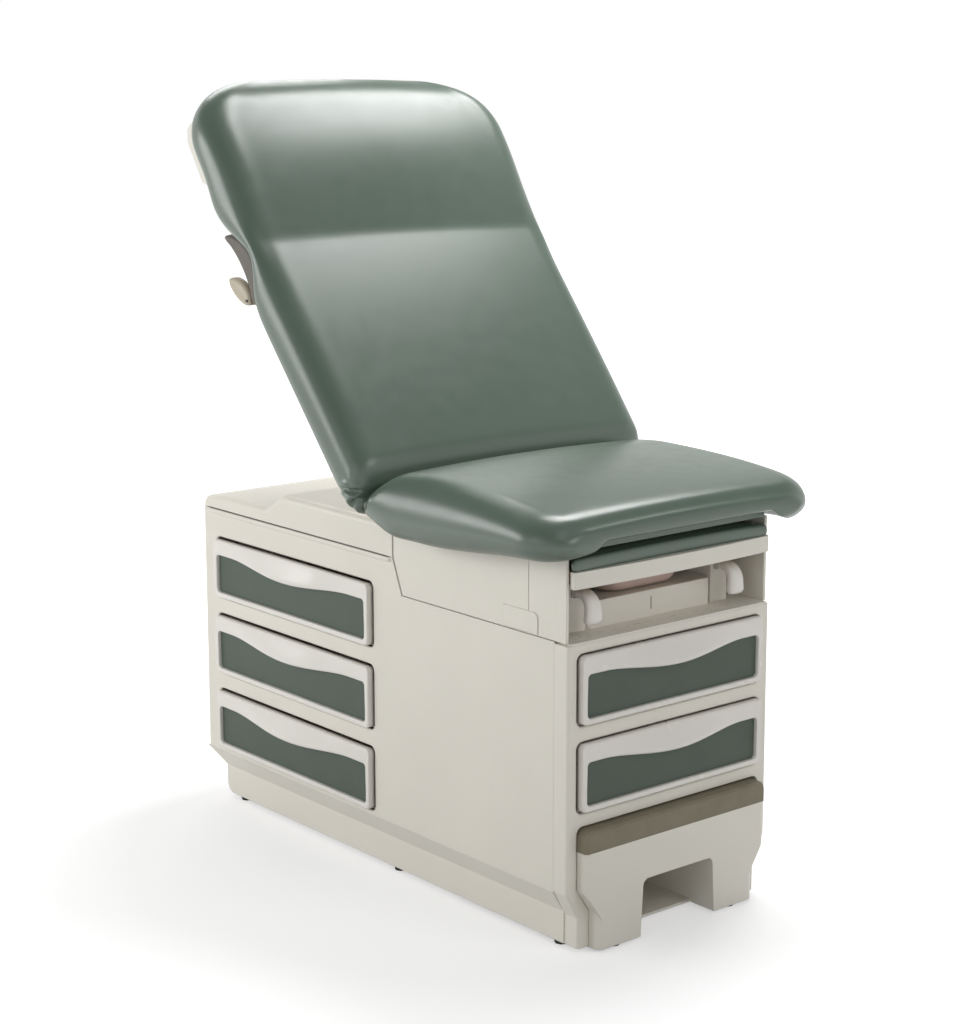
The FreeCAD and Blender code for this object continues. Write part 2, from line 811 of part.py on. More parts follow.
def make_stirrup_bay():
    shelf = new_body("stirrup_shelf")
    half = f"({RIGHT} - housing_inset - housing_wall)"
    pad(shelf, "XY", "front_top_z", rectangle(
        f"-{half}", half, FRONT, "-112",
    ), "panel_thick")
    for row in ("14", "32"):
        for column in range(-7, 8):
            centre = f"{column}*30"
            pocket(shelf, "XY", "front_top_z + panel_thick + 1", rectangle(
                f"{centre} - 9", f"{centre} + 9", f"{FRONT} + {row}", f"{FRONT} + {row} + 3",
            ), "panel_thick", "-")

    shelf_top = "front_top_z + panel_thick"
    console = new_body("stirrup_housing")
    console_front = f"{FRONT} + 58"
    pad(console, "XY", shelf_top, rectangle(
        "-console_half", "console_half", console_front, "-250",
    ), "console_high")
    face = size(console_front) + 1
    round_edges(console, "12", "z", lambda p: p.y < face)
    pocket(console, "XZ", f"{console_front} - 1", rectangle(
        "-1.5", "1.5", f"{shelf_top} + 14", f"{shelf_top} + 38",
    ), "5")
    pocket(console, "XY", shelf_top, rectangle(
        "-console_half + 4", "console_half - 4", f"{console_front} + 8", "-254",
    ), "console_high - 4")

    guide = new_body("stirrup_guides")
    side_low, side_high = "stirrup_x - guide_half", "stirrup_x + guide_half"
    guide_front = f"{FRONT} + 62"
    for sign in ("", "-"):
        x_ends = (f"{sign}({side_low})", f"{sign}({side_high})")
        pad(guide, "XZ", guide_front, rectangle(
            x_ends[0], x_ends[1], shelf_top, "stirrup_z + stirrup_thick/2 + 7",
        ), "380")
        slot = f"(stirrup_wide/2 + slide_gap)"
        pocket(guide, "XZ", f"{guide_front} - 1", rectangle(
            f"{sign}stirrup_x - {slot}", f"{sign}stirrup_x + {slot}",
            "stirrup_z - stirrup_thick/2 - slide_gap", "stirrup_z + stirrup_thick/2 + slide_gap",
        ), "382")


def make_stirrups():
    """Sliding arm in its guide, and a moulded hook that turns down at the front."""
    for side, sign in (("left", "-"), ("right", "")):
        x = f"{sign}stirrup_x"
        arm = new_body(f"stirrup_{side}_arm")
        pad(arm, "XZ", f"{FRONT} + 52", rectangle(
            f"{x} - stirrup_wide/2", f"{x} + stirrup_wide/2",
            "stirrup_z - stirrup_thick/2", "stirrup_z + stirrup_thick/2",
        ), "384")
        hook = new_body(f"stirrup_{side}_hook")
        top, low = "stirrup_z + stirrup_thick/2", "stirrup_z - stirrup_thick/2"
        face = f"{FRONT} + 8"
        inside = f"({face} + stirrup_thick + 2)"
        tip = "stirrup_z - 54"
        pad(hook, "YZ", f"{x} - stirrup_wide/2 - 4", [
            (f"{FRONT} + 51.8", low),
            (f"{FRONT} + 51.8", top),
            (f"{face} + 36", top),
            (f"{face} + 11", f"{top} - 11"),
            (face, f"{top} - 36"),
            (face, f"{tip} + 6"),
            (f"{face} + 6", tip),
            (f"{inside} - 6", tip),
            (inside, f"{tip} + 6"),
            (inside, f"{low} - 18"),
            (f"{inside} + 5", f"{low} - 5"),
            (f"{inside} + 18", low),
        ], "stirrup_wide + 8")
        soften_sides(hook, "4", "x")


def soften_sides(body, width, axis):
    """Chamfer the two flat ends of a form that was extruded along an axis."""
    doc.recompute()
    base = body.Tip
    chosen = [f"Edge{i}" for i, edge in enumerate(base.Shape.Edges, 1) if not runs_along(edge, axis)]
    chamfer = body.newObject("PartDesign::Chamfer", body.Name + "_soft")
    chamfer.Base = (base, chosen)
    chamfer.setExpression("Size", bind(width))


def make_pan():
    """Treatment pan: a shallow tray with a rim that hangs on two rails."""
    front = f"{FRONT} + 60"
    rear = f"{front} + pan_length"
    low = "pan_rim_z - pan_depth"
    outer = new_body_hidden("pan_outer")
    pad(outer, "XY", low, rectangle("-pan_half", "pan_half", front, rear), "pan_depth + 3")
    bevel_edges(outer, "22", "z", lambda p: True)
    pad(outer, "XY", "pan_rim_z", rectangle(
        "-pan_half - 12", "pan_half + 12", f"{front} - 6", f"{rear} + 6",
    ), "3")
    reach = size("pan_half") + 11
    round_edges(outer, "30", "z", lambda p: abs(p.x) > reach)
    inner = new_body_hidden("pan_inner")
    pad(inner, "XY", f"{low} + 3", rectangle(
        "-pan_half + 3", "pan_half - 3", f"{front} + 3", f"{rear} - 3",
    ), "pan_depth + 3")
    bevel_edges(inner, "20.2", "z", lambda p: True)
    keep(cut(outer, inner), "treatment_pan")
    rail = block(
        ("pan_half + 2", "stirrup_x - guide_half"),
        (f"{FRONT} + 70", "-146"),
        ("pan_rim_z - 3.4", "pan_rim_z - 0.4"),
    )
    both_sides("pan_rails", [rail])


def make_footrest():
    board = new_body("footrest_board")
    rear = f"{FRONT} + footrest_length"
    pad(board, "XY", "footrest_z", rectangle(
        "-footrest_half", "footrest_half", f"{FRONT} + 6", rear,
    ), "footrest_thick")
    round_edges(board, "12", "z", lambda p: p.y > size(rear) - 1)

    bar = new_body("footrest_bar")
    back_y = f"{FRONT} + 5.7"
    face_y = f"{FRONT} - 6"
    pad(bar, "XY", "bar_low_z", [
        ("-bar_half", back_y),
        ("-bar_half", face_y, "bar_bow"),
        ("bar_half", face_y),
        ("bar_half", back_y),
    ], "bar_high_z - bar_low_z")
    round_edges(bar, "4", "z", lambda p: p.y < size(face_y) + 1)

    pad_piece = doc.addObject("Part::Feature", "footrest_pad")
    pad_piece.Shape = footrest_pad_shape()
    keep(pad_piece, "footrest_pad")

    wall_x = f"({RIGHT} - housing_inset - housing_wall)"
    under, over = "footrest_z - 1", "footrest_z + footrest_thick + 1"
    flange_in = f"({wall_x} - 20)"
    rail = new_body_hidden("footrest_rail")
    pad(rail, "XZ", f"{FRONT} + 14", [
        (flange_in, f"{under} - 3"),
        (wall_x, f"{under} - 3"),
        (wall_x, f"{over} + 3"),
        (flange_in, f"{over} + 3"),
        (flange_in, over),
        (f"{wall_x} - 3", over),
        (f"{wall_x} - 3", under),
        (flange_in, under),
    ], "440")
    both_sides("footrest_rails", [rail])


def new_body_hidden(name):
    return doc.addObject("PartDesign::Body", name)


def footrest_pad_shape():
    """Crowned pad between the rails' upper flanges, with a roll as wide as the bar along its front."""
    low = size("footrest_z + footrest_thick") + 0.3
    high = low + size("pad_high") - 0.3
    half = size(f"{RIGHT} - housing_inset - housing_wall") - 22
    front, rear = size(FRONT) - 3, size(f"{FRONT} + footrest_length") - 12
    roll_half, roll_deep = size("bar_half"), 9
    sections = []
    for depth in (0, 2, 5, roll_deep):
        sections.append((front + depth, roll_half - rounded_drop(depth, 5, 6), 24 - rounded_drop(depth, 5, 8)))
    sections.append((front + roll_deep + 1.4, half, 22))
    sections.append((front + 40, half, high - low))
    for depth in (0, 8, 40):
        grow = rounded_drop(depth, 40, 16)
        drop = rounded_drop(depth, 30, 10)
        sections.append((rear - depth, half - grow, high - low - drop))
    wires = [
        cushion_section(FreeCAD.Vector(0, y, low), FreeCAD.Vector(0, 0, 1), wide, thick, 2.5, 8, 10)
        for y, wide, thick in sorted(sections)
    ]
    return Part.makeLoft(wires, True, True)


# Cushions

def arc_points(first, middle, last, count):
    """Evenly spaced points along an arc, without its last one."""
    return Part.Arc(first, middle, last).toShape().discretize(count + 1)[:-1]


def cushion_section(origin, normal, half, thick, crown, tuck, shoulder):
    """Closed section of a cushion: flat back, drawn-in sides and a crowned face."""
    across = FreeCAD.Vector(1, 0, 0)

    def at(u, v):
        return origin + across * u + normal * v

    back = half - tuck
    face = half - shoulder
    belly = thick * 0.46
    rim = thick - crown
    low_side = (half - tuck * 0.22, belly * 0.42)
    high_side = (half - shoulder * 0.24, belly + (rim - belly) * 0.68)
    points = (
        arc_points(at(back, 0), at(*low_side), at(half, belly), 4)
        + arc_points(at(half, belly), at(*high_side), at(face, rim), 5)
        + arc_points(at(face, rim), at(0, thick), at(-face, rim), 6)
        + arc_points(at(-face, rim), at(-high_side[0], high_side[1]), at(-half, belly), 5)
        + arc_points(at(-half, belly), at(-low_side[0], low_side[1]), at(-back, 0), 4)
        + [at(-back, 0)]
    )
    return Part.makePolygon(points + points[:1])


def fold_plane(degrees):
    """Direction in the YZ plane that leans from the hinge axis towards the seat."""
    turn = math.radians(degrees)
    return FreeCAD.Vector(0, -math.sin(turn), math.cos(turn))


def crease_lean():
    """Lean from upright, in degrees, of the plane where seat and back would meet."""
    start = FreeCAD.Vector(0, size("back_start"), size("back_lift + back_thick"))
    raised = FreeCAD.Rotation(FreeCAD.Vector(1, 0, 0), size("back_angle")).multVec(start)
    return math.degrees(math.atan2(-raised.y, raised.z))


def seat_section(origin, normal, half, lobe, rim, top, crown):
    """Section of the seat: heights along the normal; the sides hang down past the deck."""
    across = FreeCAD.Vector(1, 0, 0)

    def at(u, v):
        return origin + across * u + normal * v

    inner = min(size("deck_half") + 6, half - 82)
    foot = half - 52
    face = half - 58
    belly = lobe + (top - lobe) * 0.42
    shoulder = top - crown
    low_side = (half - 11, lobe + (belly - lobe) * 0.40)
    high_side = (half - 11, belly + (shoulder - belly) * 0.66)
    points = (
        [at(inner, rim)]
        + arc_points(at(foot, lobe), at(*low_side), at(half, belly), 5)
        + arc_points(at(half, belly), at(*high_side), at(face, shoulder), 5)
        + arc_points(at(face, shoulder), at(0, top), at(-face, shoulder), 6)
        + arc_points(at(-face, shoulder), at(-high_side[0], high_side[1]), at(-half, belly), 5)
        + arc_points(at(-half, belly), at(-low_side[0], low_side[1]), at(-foot, lobe), 5)
        + [at(-foot, lobe), at(-inner, rim)]
    )
    return Part.makePolygon(points + points[:1])


def beyond_plane(lean, gap, towards):
    """Large block on one side of a plane through the hinge axis, in the frame of the raised table."""
    up = fold_plane(lean)
    out = FreeCAD.Vector(0, up.z, -up.y) * towards
    hinge = FreeCAD.Vector(-600, size("hinge_y"), size("hinge_z")) + out * gap
    corners = [hinge - up * 400, hinge + up * 600, hinge + up * 600 + out * 900, hinge - up * 400 + out * 900]
    return Part.Face(Part.makePolygon(corners + corners[:1])).extrude(FreeCAD.Vector(1200, 0, 0))


def rounded_drop(depth, reach, drop):
    """How far a rounded end still falls short at a depth from it: a quarter of an ellipse."""
    if depth >= reach:
        return 0.0
    return drop * (1 - math.sqrt(1 - (1 - depth / reach) ** 2))


def seat_cushion_shape():
    """Seat with a waterfall front edge, rounded front corners and sides that hang past the deck."""
    front = size(FRONT) - size("seat_front_over")
    deck, top = size(DECK_TOP) + 0.3, size("seat_top_z")
    length = size("hinge_y") - front
    sections = []
    for depth in (4, 9, 24, 50, 85, 160, 270, 420, 615):
        slope = rounded_drop(depth, 330, 43) - size("seat_rise") * depth / length
        edge = rounded_drop(depth, 52, 36)
        half = size("seat_half") - rounded_drop(depth, 88, 100)
        rim = deck + rounded_drop(depth, 100, 20)
        lobe = 735 + rounded_drop(depth, 60, 26) + rounded_drop(depth, 400, 8)
        sections.append(seat_section(
            FreeCAD.Vector(0, front + depth, 0), FreeCAD.Vector(0, 0, 1), half, lobe, rim,
            top - slope - edge, 4,
        ))
    solid = Part.makeLoft(sections, True, True)
    return solid.cut(beyond_plane(crease_lean() + size("fold_half_angle"), 0, 1))


def bend_rise(along):
    """Height that the bent head section has gained at a distance along the back."""
    return max(0.0, along - size("bend_at")) * math.tan(math.radians(size("bend_angle")))


def back_section(along, half, thick, lift, crown):
    start = size("back_start") + along
    rise = size("back_lift") + bend_rise(along) + lift
    tilt = size("bend_angle") if along > size("bend_at") else 0
    normal = fold_plane(tilt)
    return cushion_section(FreeCAD.Vector(0, start, rise), normal, half, thick, crown, size("back_tuck"), 40)


def back_cushion_shape():
    """Back with a bent, slightly fuller head section and broadly rounded top corners."""
    low, high = size("back_half_low"), size("back_half_high")
    length = size("back_length")
    sections = []
    for depth in (0, 5, 14, 30, 56, 95, 150, 220, 300, 374, 414, 1000):
        taper = min(1, depth / length)
        half = high + (low - high) * taper - rounded_drop(depth, 145, 172)
        pillow = 8 * math.exp(-((depth - 170) / 110) ** 2)
        thick = size("back_thick") + pillow - rounded_drop(depth, 50, 52)
        lift = rounded_drop(depth, 30, 14)
        crown = 10 + pillow * 0.4 - rounded_drop(depth, 60, 5)
        sections.append(back_section(length - depth, half, thick, lift, crown))
    solid = Part.makeLoft(sections, True, True)
    seat_side = beyond_plane(crease_lean() - size("fold_half_angle"), 0, -1)
    seat_side.Placement = raised_place().inverse()
    return solid.cut([seat_side] + grip_notches())


def grip_notches():
    """Room in the cushion's two lower edges for the release grips, open to the side and below."""
    start, peak, end = [FreeCAD.Vector(0, y, z) for y, z in grip_outside(1.2)]
    face = Part.Face(Part.Wire([Part.Arc(start, peak, end).toShape(), Part.makeLine(end, start)]))
    inner, deep = size("grip_half - grip_wide") - 1, 120
    notch = face.extrude(FreeCAD.Vector(deep, 0, 0))
    return [notch.translated(FreeCAD.Vector(x, 0, 0)) for x in (inner, -inner - deep)]


def fold_shape():
    """Wedge of cover between the seat's and the back's end, a little lower and narrower than both."""
    gap = -0.4
    half_angle = size("fold_half_angle")
    upright = FreeCAD.Vector(0, 0, 1)
    half, top = size("seat_half") - 9, size("seat_top_z + seat_rise") - 16
    deck = size(DECK_TOP) + 0.3
    ends = [
        seat_section(FreeCAD.Vector(0, size("hinge_y") + y, 0), upright, half, deck - 9, deck, top, 6)
        for y in (-120, 10)
    ]
    solid = Part.makeLoft(ends, True, True)
    solid = solid.cut(beyond_plane(crease_lean() + half_angle, gap, -1))
    return solid.cut(beyond_plane(crease_lean() - half_angle, gap, 1))


def make_cushions():
    seat = doc.addObject("Part::Feature", "seat_cushion")
    seat.Shape = seat_cushion_shape()
    keep(seat, "seat_cushion")
    back = doc.addObject("Part::Feature", "backrest_cushion")
    back.Shape = back_cushion_shape()
    lean_back(back)
    keep(back, "backrest_cushion")
    fold = doc.addObject("Part::Feature", "crease_fold")
    fold.Shape = fold_shape()
    keep(fold, "crease_fold")


def make_seat_deck():
    deck = new_body("seat_deck")
    pad(deck, "XY", "deck_z", rectangle(
        "-deck_half", "deck_half", f"{FRONT} + 4", "hinge_y - 17",
    ), "deck_thick")
    round_edges(deck, "30", "z", lambda p: p.y < size(FRONT) + 9)


# Hinge and backrest

def make_hinge():
    """Brackets under the seat deck, each with the pin that the backrest's arm turns on."""
    cheek = block(("208", "220"), ("hinge_y - 46", "hinge_y + 11"), ("hinge_z - 11", "deck_z"))
    pin = rod("pin_radius", ("208", "hinge_y", "hinge_z"), "x", "28")
    both_sides("hinge_brackets", [fuse(cheek, pin)])


def make_backrest_frame():
    """Bent panel that carries the cushion, and the steel arms that carry the panel."""
    panel = new_body("backrest_panel")
    low, high = "0.7", "back_lift - 2.5"
    bend = "(back_start + bend_at)"
    end = "(back_start + back_length - 84)"
    rise = f"(({end} - {bend})*tan(bend_angle))"
    pad(panel, "YZ", "-300", [
        ("60", low),
        (bend, low),
        (end, f"{low} + {rise}"),
        (end, f"{high} + {rise}"),
        (bend, high),
        ("60", high),
    ], "600")
    lean_back(panel)

    arms = new_body("backrest_hinge_arms")
    arms.AllowCompound = True
    for x_low in ("222", "-232"):
        pad(arms, "YZ", x_low, [
            ("-12", "-12"),
            ("130", "-12"),
            ("130", low),
            ("59.5", low),
            ("56", "12"),
            ("-12", "12"),
        ], "10")
    bevel_edges(arms, "6", "x", lambda p: p.y < -11)
    bore(arms, "pin_radius + running_gap", ("-240", "0", "0"), "x", "480")
    pin_y = "(-crank_reach*cos(180 - crank_angle))"
    pin_z = "(-crank_reach*sin(180 - crank_angle))"
    pad(arms, "YZ", "-6", [
        ("59.5", low),
        ("130", low),
        ("130", "-10"),
        ("14", "-16"),
        (f"{pin_y} + 9", f"{pin_z} - 9"),
        (f"{pin_y} - 9", f"{pin_z} + 3"),
        ("-9", "2"),
        ("20", "8"),
    ], "12")
    pad(arms, "YZ", "-232", rectangle("112", "130", "-10", low), "464")
    pin = arms.newObject("PartDesign::AdditiveCylinder", "crank_pin")
    place_round(pin, "crank_pin_radius", ("-20", pin_y, pin_z), "x", "40")
    lean_back(arms)


def make_back_covers():
    bend = "(back_start + bend_at)"
    end = "(back_start + back_length - 80)"
    rise = f"(({end} - {bend})*tan(bend_angle))"
    cover = new_body("back_cover")
    pad(cover, "YZ", "-308", [
        ("140", "-7"),
        (bend, "-7"),
        (end, f"{rise} - 7"),
        (end, f"{rise} + 0.4"),
        (bend, "0.4"),
        ("140", "0.4"),
    ], "616")
    round_edges(cover, "40", "z", lambda p: p.y < 150)
    lean_back(cover)

    roll = new_body("paper_roll_cover")
    start = "(back_start + 738)"
    stop = "(back_start + back_length - 58)"

    def rise_at(place):
        return f"(({place} - {bend})*tan(bend_angle))"

    pad(roll, "YZ", "-345", [
        (start, f"{rise_at(start)} - 7.4"),
        (f"{start} + 26", f"{rise_at(start)} - 26"),
        (f"{stop} - 20", f"{rise_at(stop)} - 30"),
        (stop, f"{rise_at(stop)} - 14"),
        (stop, f"{rise_at(stop)} + 14"),
        (f"{end} + 1", f"{rise_at(end)} + 14"),
        (f"{end} + 1", f"{rise_at(end)} - 7.4"),
    ], "690")
    lean_back(roll)


def crescent(points_out, points_in, x_low, wide):
    """Crescent between an outer and an inner arc in the YZ plane, given some width along X."""
    out = [FreeCAD.Vector(x_low, y, z) for y, z in points_out]
    inner = [FreeCAD.Vector(x_low, y, z) for y, z in points_in]
    points = arc_points(*out, 9) + [out[2]] + arc_points(*inner, 9) + [inner[2]]
    return Part.Face(Part.makePolygon(points + points[:1])).extrude(FreeCAD.Vector(wide, 0, 0))


def round_pin(x_low, wide, centre, radius):
    y, z = centre
    return Part.makeCylinder(radius, wide, FreeCAD.Vector(x_low, y, z), FreeCAD.Vector(1, 0, 0))


def plate(corners, x_low, wide):
    points = [FreeCAD.Vector(x_low, y, z) for y, z in corners]
    return Part.Face(Part.makePolygon(points + points[:1])).extrude(FreeCAD.Vector(wide, 0, 0))


def handle_place(along, above):
    """Place in the lying back's frame, from the start of its cushion's underside."""
    return size("back_start") + along, size("back_lift") + above


def grip_outside(spare=0):
    """Arc of a release grip's edge towards the cushion, with room to spare round it."""
    return [
        handle_place(628 + spare, -14),
        handle_place(540, 41 + spare),
        handle_place(447 - spare, -8),
    ]


def make_release_handles():
    """Curved grip let into each lower edge of the back, and the lever that is squeezed towards it."""
    place = handle_place
    grip_in = [place(462, -24), place(535, -11), place(622, -20)]
    lever_out = [place(556, -57), place(520, -28), place(472, -27)]
    lever_in = [place(470, -40), place(508, -67), place(551, -69)]
    pivot = place(481, -35)
    hanger = [place(449, -8), place(466, -18), place(492, -30), place(488, -43), place(472, -43), place(460, -26)]
    tie = [place(528, -4), place(590, -4), place(590, -8.4), place(528, -8.4)]
    half, wide = size("grip_half"), size("grip_wide")
    web, panel_edge = 3.5, 300
    for side, sign in (("left", -1), ("right", 1)):
        x_low = -half if sign < 0 else half - wide
        inner = sign * (half - wide)
        web_x = inner - web if sign < 0 else inner
        tie_x = inner - 2 if sign < 0 else panel_edge
        grip = crescent(grip_outside(), grip_in, x_low, wide)
        grip = grip.fuse(plate(hanger, web_x, web))
        grip = grip.fuse(round_pin(x_low + 1, wide - 2, pivot, 3))
        grip = grip.fuse(plate(tie, tie_x, half - wide - panel_edge + 2))
        piece = doc.addObject("Part::Feature", f"release_grip_{side}")
        piece.Shape = grip.removeSplitter()
        lean_back(piece)
        keep(piece, f"release_grip_{side}")
        lever_x = x_low + 3 if sign < 0 else x_low + web + 1
        lever = crescent(lever_out, lever_in, lever_x, wide - web - 4)
        lever = lever.cut(round_pin(lever_x - 1, wide - web - 2, pivot, 3 + size("running_gap")))
        piece = doc.addObject("Part::Feature", f"release_lever_{side}")
        piece.Shape = lever
        lean_back(piece)
        keep(piece, f"release_lever_{side}")


def make_locking_strut():
    """Friction-locking rod in a fixed housing; its yoke takes the crank's pin with some play."""
    rest = "(back_angle + 180 - crank_angle - 90)"
    pin_y = f"(hinge_y + crank_reach*sin({rest}) - 0.5)"
    axis_z = "(hinge_z - crank_reach + 4)"
    beam = new_body("strut_bracket")
    inside = f"({RIGHT} - panel_thick)"
    pad(beam, "XZ", "40", rectangle(f"-{inside}", inside, "606", "636"), "110")
    pocket(beam, "XZ", "39", rectangle(f"-{inside} + 6", f"{inside} - 6", "605", "632"), "112")
    for y in ("44", "126"):
        pad(beam, "XZ", y, rectangle("-26", "26", "635", f"{axis_z} + 8"), "20")
    bore(beam, "16", ("0", "39", axis_z), "y", "120")

    housing = cut(
        rod("16", ("0", "12", axis_z), "y", "180"),
        rod("6 + running_gap", ("0", "11", axis_z), "y", "182"),
    )
    keep(housing, "lock_strut_housing")

    rod_body = new_body("lock_strut_rod")
    for x_low in ("8", "-18"):
        pad(rod_body, "YZ", x_low, rectangle(
            f"{pin_y} - 14", f"{pin_y} + 34", f"{axis_z} - 18", f"{axis_z} + 22",
        ), "10")
    pocket(rod_body, "YZ", "-20", rectangle(
        f"{pin_y} - crank_pin_radius - 1.1", f"{pin_y} + crank_pin_radius + 1.1",
        f"{axis_z} - 11", f"{axis_z} + 15",
    ), "40")
    pad(rod_body, "YZ", "-18", rectangle(
        f"{pin_y} + 30", f"{pin_y} + 42", f"{axis_z} - 18", f"{axis_z} + 10",
    ), "36")
    bar = rod_body.newObject("PartDesign::AdditiveCylinder", "strut_bar")
    place_round(bar, "6", ("0", f"{pin_y} + 40", axis_z), "y", "230")


def check_and_write():
    doc.recompute()
    for piece in doc.Objects:
        if "Invalid" in piece.State or "Error" in piece.State:
            raise RuntimeError(f"{piece.Name} ({piece.Label}) failed: {piece.State}")
    for piece in nodes:
        if piece.Shape.isNull() or not piece.Shape.isValid():
            raise RuntimeError(f"{piece.Label} has no valid shape")
    os.makedirs("parts", exist_ok=True)
    for piece in nodes:
        piece.Shape.exportStep(f"parts/{piece.Label}.step")
    print(len(nodes), "sub-parts written")


make_side_panels()
make_rear_panel()
make_base_tray()
make_front_frame()
make_top_cover()
make_seat_housing()
make_bulkhead()
make_feet()
make_side_drawers()
make_front_drawers()
make_step()
make_stirrup_bay()
make_stirrups()
make_pan()
make_footrest()
make_seat_deck()
make_cushions()
make_hinge()
make_backrest_frame()
make_back_covers()
make_release_handles()
make_locking_strut()
check_and_write()
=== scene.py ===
"""Dress an examination table: upholstery, moulded drawer fronts, finishes and a plain studio."""

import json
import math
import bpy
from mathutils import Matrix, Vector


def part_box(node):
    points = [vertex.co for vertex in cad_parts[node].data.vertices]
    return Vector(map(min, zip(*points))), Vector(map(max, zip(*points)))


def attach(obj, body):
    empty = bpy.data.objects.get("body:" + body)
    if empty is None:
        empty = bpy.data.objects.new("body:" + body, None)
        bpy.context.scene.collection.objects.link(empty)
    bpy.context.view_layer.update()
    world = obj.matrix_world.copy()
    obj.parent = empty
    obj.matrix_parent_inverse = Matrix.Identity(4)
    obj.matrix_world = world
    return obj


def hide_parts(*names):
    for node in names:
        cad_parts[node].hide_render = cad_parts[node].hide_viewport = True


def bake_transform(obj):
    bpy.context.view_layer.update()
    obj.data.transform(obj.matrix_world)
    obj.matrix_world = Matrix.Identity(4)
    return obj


bl_info = {
    "name": "Examination Table Dressing",
    "version": (1, 0, 0),
    "blender": (4, 5, 0),
    "location": "View3D > Sidebar > Table",
    "description": "Builds the upholstery, mouldings, finishes and studio of an examination table",
    "category": "Object",
}

import bmesh
import bpy
import numpy as np
from bpy.props import FloatProperty, FloatVectorProperty, PointerProperty
from mathutils import Matrix, Vector

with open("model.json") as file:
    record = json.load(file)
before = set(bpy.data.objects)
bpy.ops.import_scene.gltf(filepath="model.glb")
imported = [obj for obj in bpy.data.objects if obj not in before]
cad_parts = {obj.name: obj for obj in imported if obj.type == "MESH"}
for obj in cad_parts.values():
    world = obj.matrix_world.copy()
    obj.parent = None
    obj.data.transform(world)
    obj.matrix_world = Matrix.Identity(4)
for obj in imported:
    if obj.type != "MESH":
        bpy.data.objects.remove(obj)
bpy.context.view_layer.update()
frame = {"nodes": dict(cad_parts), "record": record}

# Places and names shared with the solids; lengths in metres
HINGE = Vector((0.0, -0.0845, 0.736))
BASE_FRONT = -0.588
BASE_HALF = 0.2575
DECK_TOP = 0.760
PARTING = 0.653
CUSHION_START = 0.046
CUSHION_UNDERSIDE = 0.015
SIDES = (("left", -1), ("right", 1))
SIDE_DRAWERS = ("side_drawer_1", "side_drawer_2", "side_drawer_3")
FRONT_DRAWERS = ("front_drawer_1", "front_drawer_2")

# Lengths of the cover alone, in metres
FRONT_BLUNT = 0.004
BEND_EASE = 0.028
GRIP_ALONG = 0.578
PINCH_HEIGHT = 0.075
ROW_FINE, ROW_COARSE = 0.003, 0.018

# Points in each stretch of a cushion's section; those above and those below have the same sum
SIDE_POINTS, TOP_POINTS = 14, 12
LOWER_SIDE_POINTS, LIP_POINTS, UNDER_POINTS = 10, 4, 12

# Puckers at the crease's ends: heading in degrees above level towards the rear, length and depth
PUCKERS = ((0, 0.072, 0.0075), (-49, 0.062, 0.0080), (-84, 0.040, 0.0040), (24, 0.038, 0.0036))

# Lamps: name, place, what it aims at, width and height, share of the overhead lamp's power
LAMPS = (
    ("key", (-3.2, -1.4, 2.2), (0, 0, 0.6), (1.8, 1.8), 0.09),
    ("overhead", (1.50, 0.25, 3.4), (1.539, 0.105, 0.8), (2.0, 1.25), 1),
    ("rear", (1.0, 2.7, 3.2), (0.4, 0.2, 0.9), (1.8, 1.2), 0.36),
    ("left", (-2.7, 1.75, 1.6), (0, 0.2, 1.1), (2.4, 1.2), 0.48),
    ("front", (0.6, -3.2, 2.8), (0, -0.5, 0.65), (1.2, 1.2), 0.20),
)

# Finishes by their slot, once they are made
finishes = {}


def linear(red, green, blue):
    """Linear colour from the 0 to 255 numbers of a paint chart."""
    def channel(value):
        value /= 255
        return value / 12.92 if value <= 0.04045 else ((value + 0.055) / 1.055) ** 2.4
    return tuple(channel(v) for v in (red, green, blue))


def colour_setting(label, about, chart):
    return FloatVectorProperty(
        name=label, description=about, default=linear(*chart), subtype="COLOR", min=0, max=1
    )


def length_setting(label, about, default):
    return FloatProperty(name=label, description=about, default=default, unit="LENGTH")


class TableColours(bpy.types.PropertyGroup):
    """Colours of the table's finishes."""

    paint: colour_setting("Paint", "Powder coat of the cabinet", (222, 218, 207))
    trim: colour_setting("Trim", "Moulded covers and frames", (222, 218, 207))
    fronts: colour_setting("Fronts", "Moulded drawer fronts", (226, 222, 215))
    vinyl: colour_setting("Vinyl", "Upholstery", (86, 102, 90))
    insert: colour_setting("Insert", "Plates in the drawer fronts", (79, 90, 80))
    tread: colour_setting("Tread", "Rubber on the step", (128, 122, 102))
    grip: colour_setting("Grip", "Release grips", (92, 86, 78))
    lever: colour_setting("Lever", "Release levers", (176, 166, 146))
    pan: colour_setting("Pan", "Treatment pan", (206, 182, 172))
    floor: colour_setting("Floor", "Studio floor", (200, 200, 200))


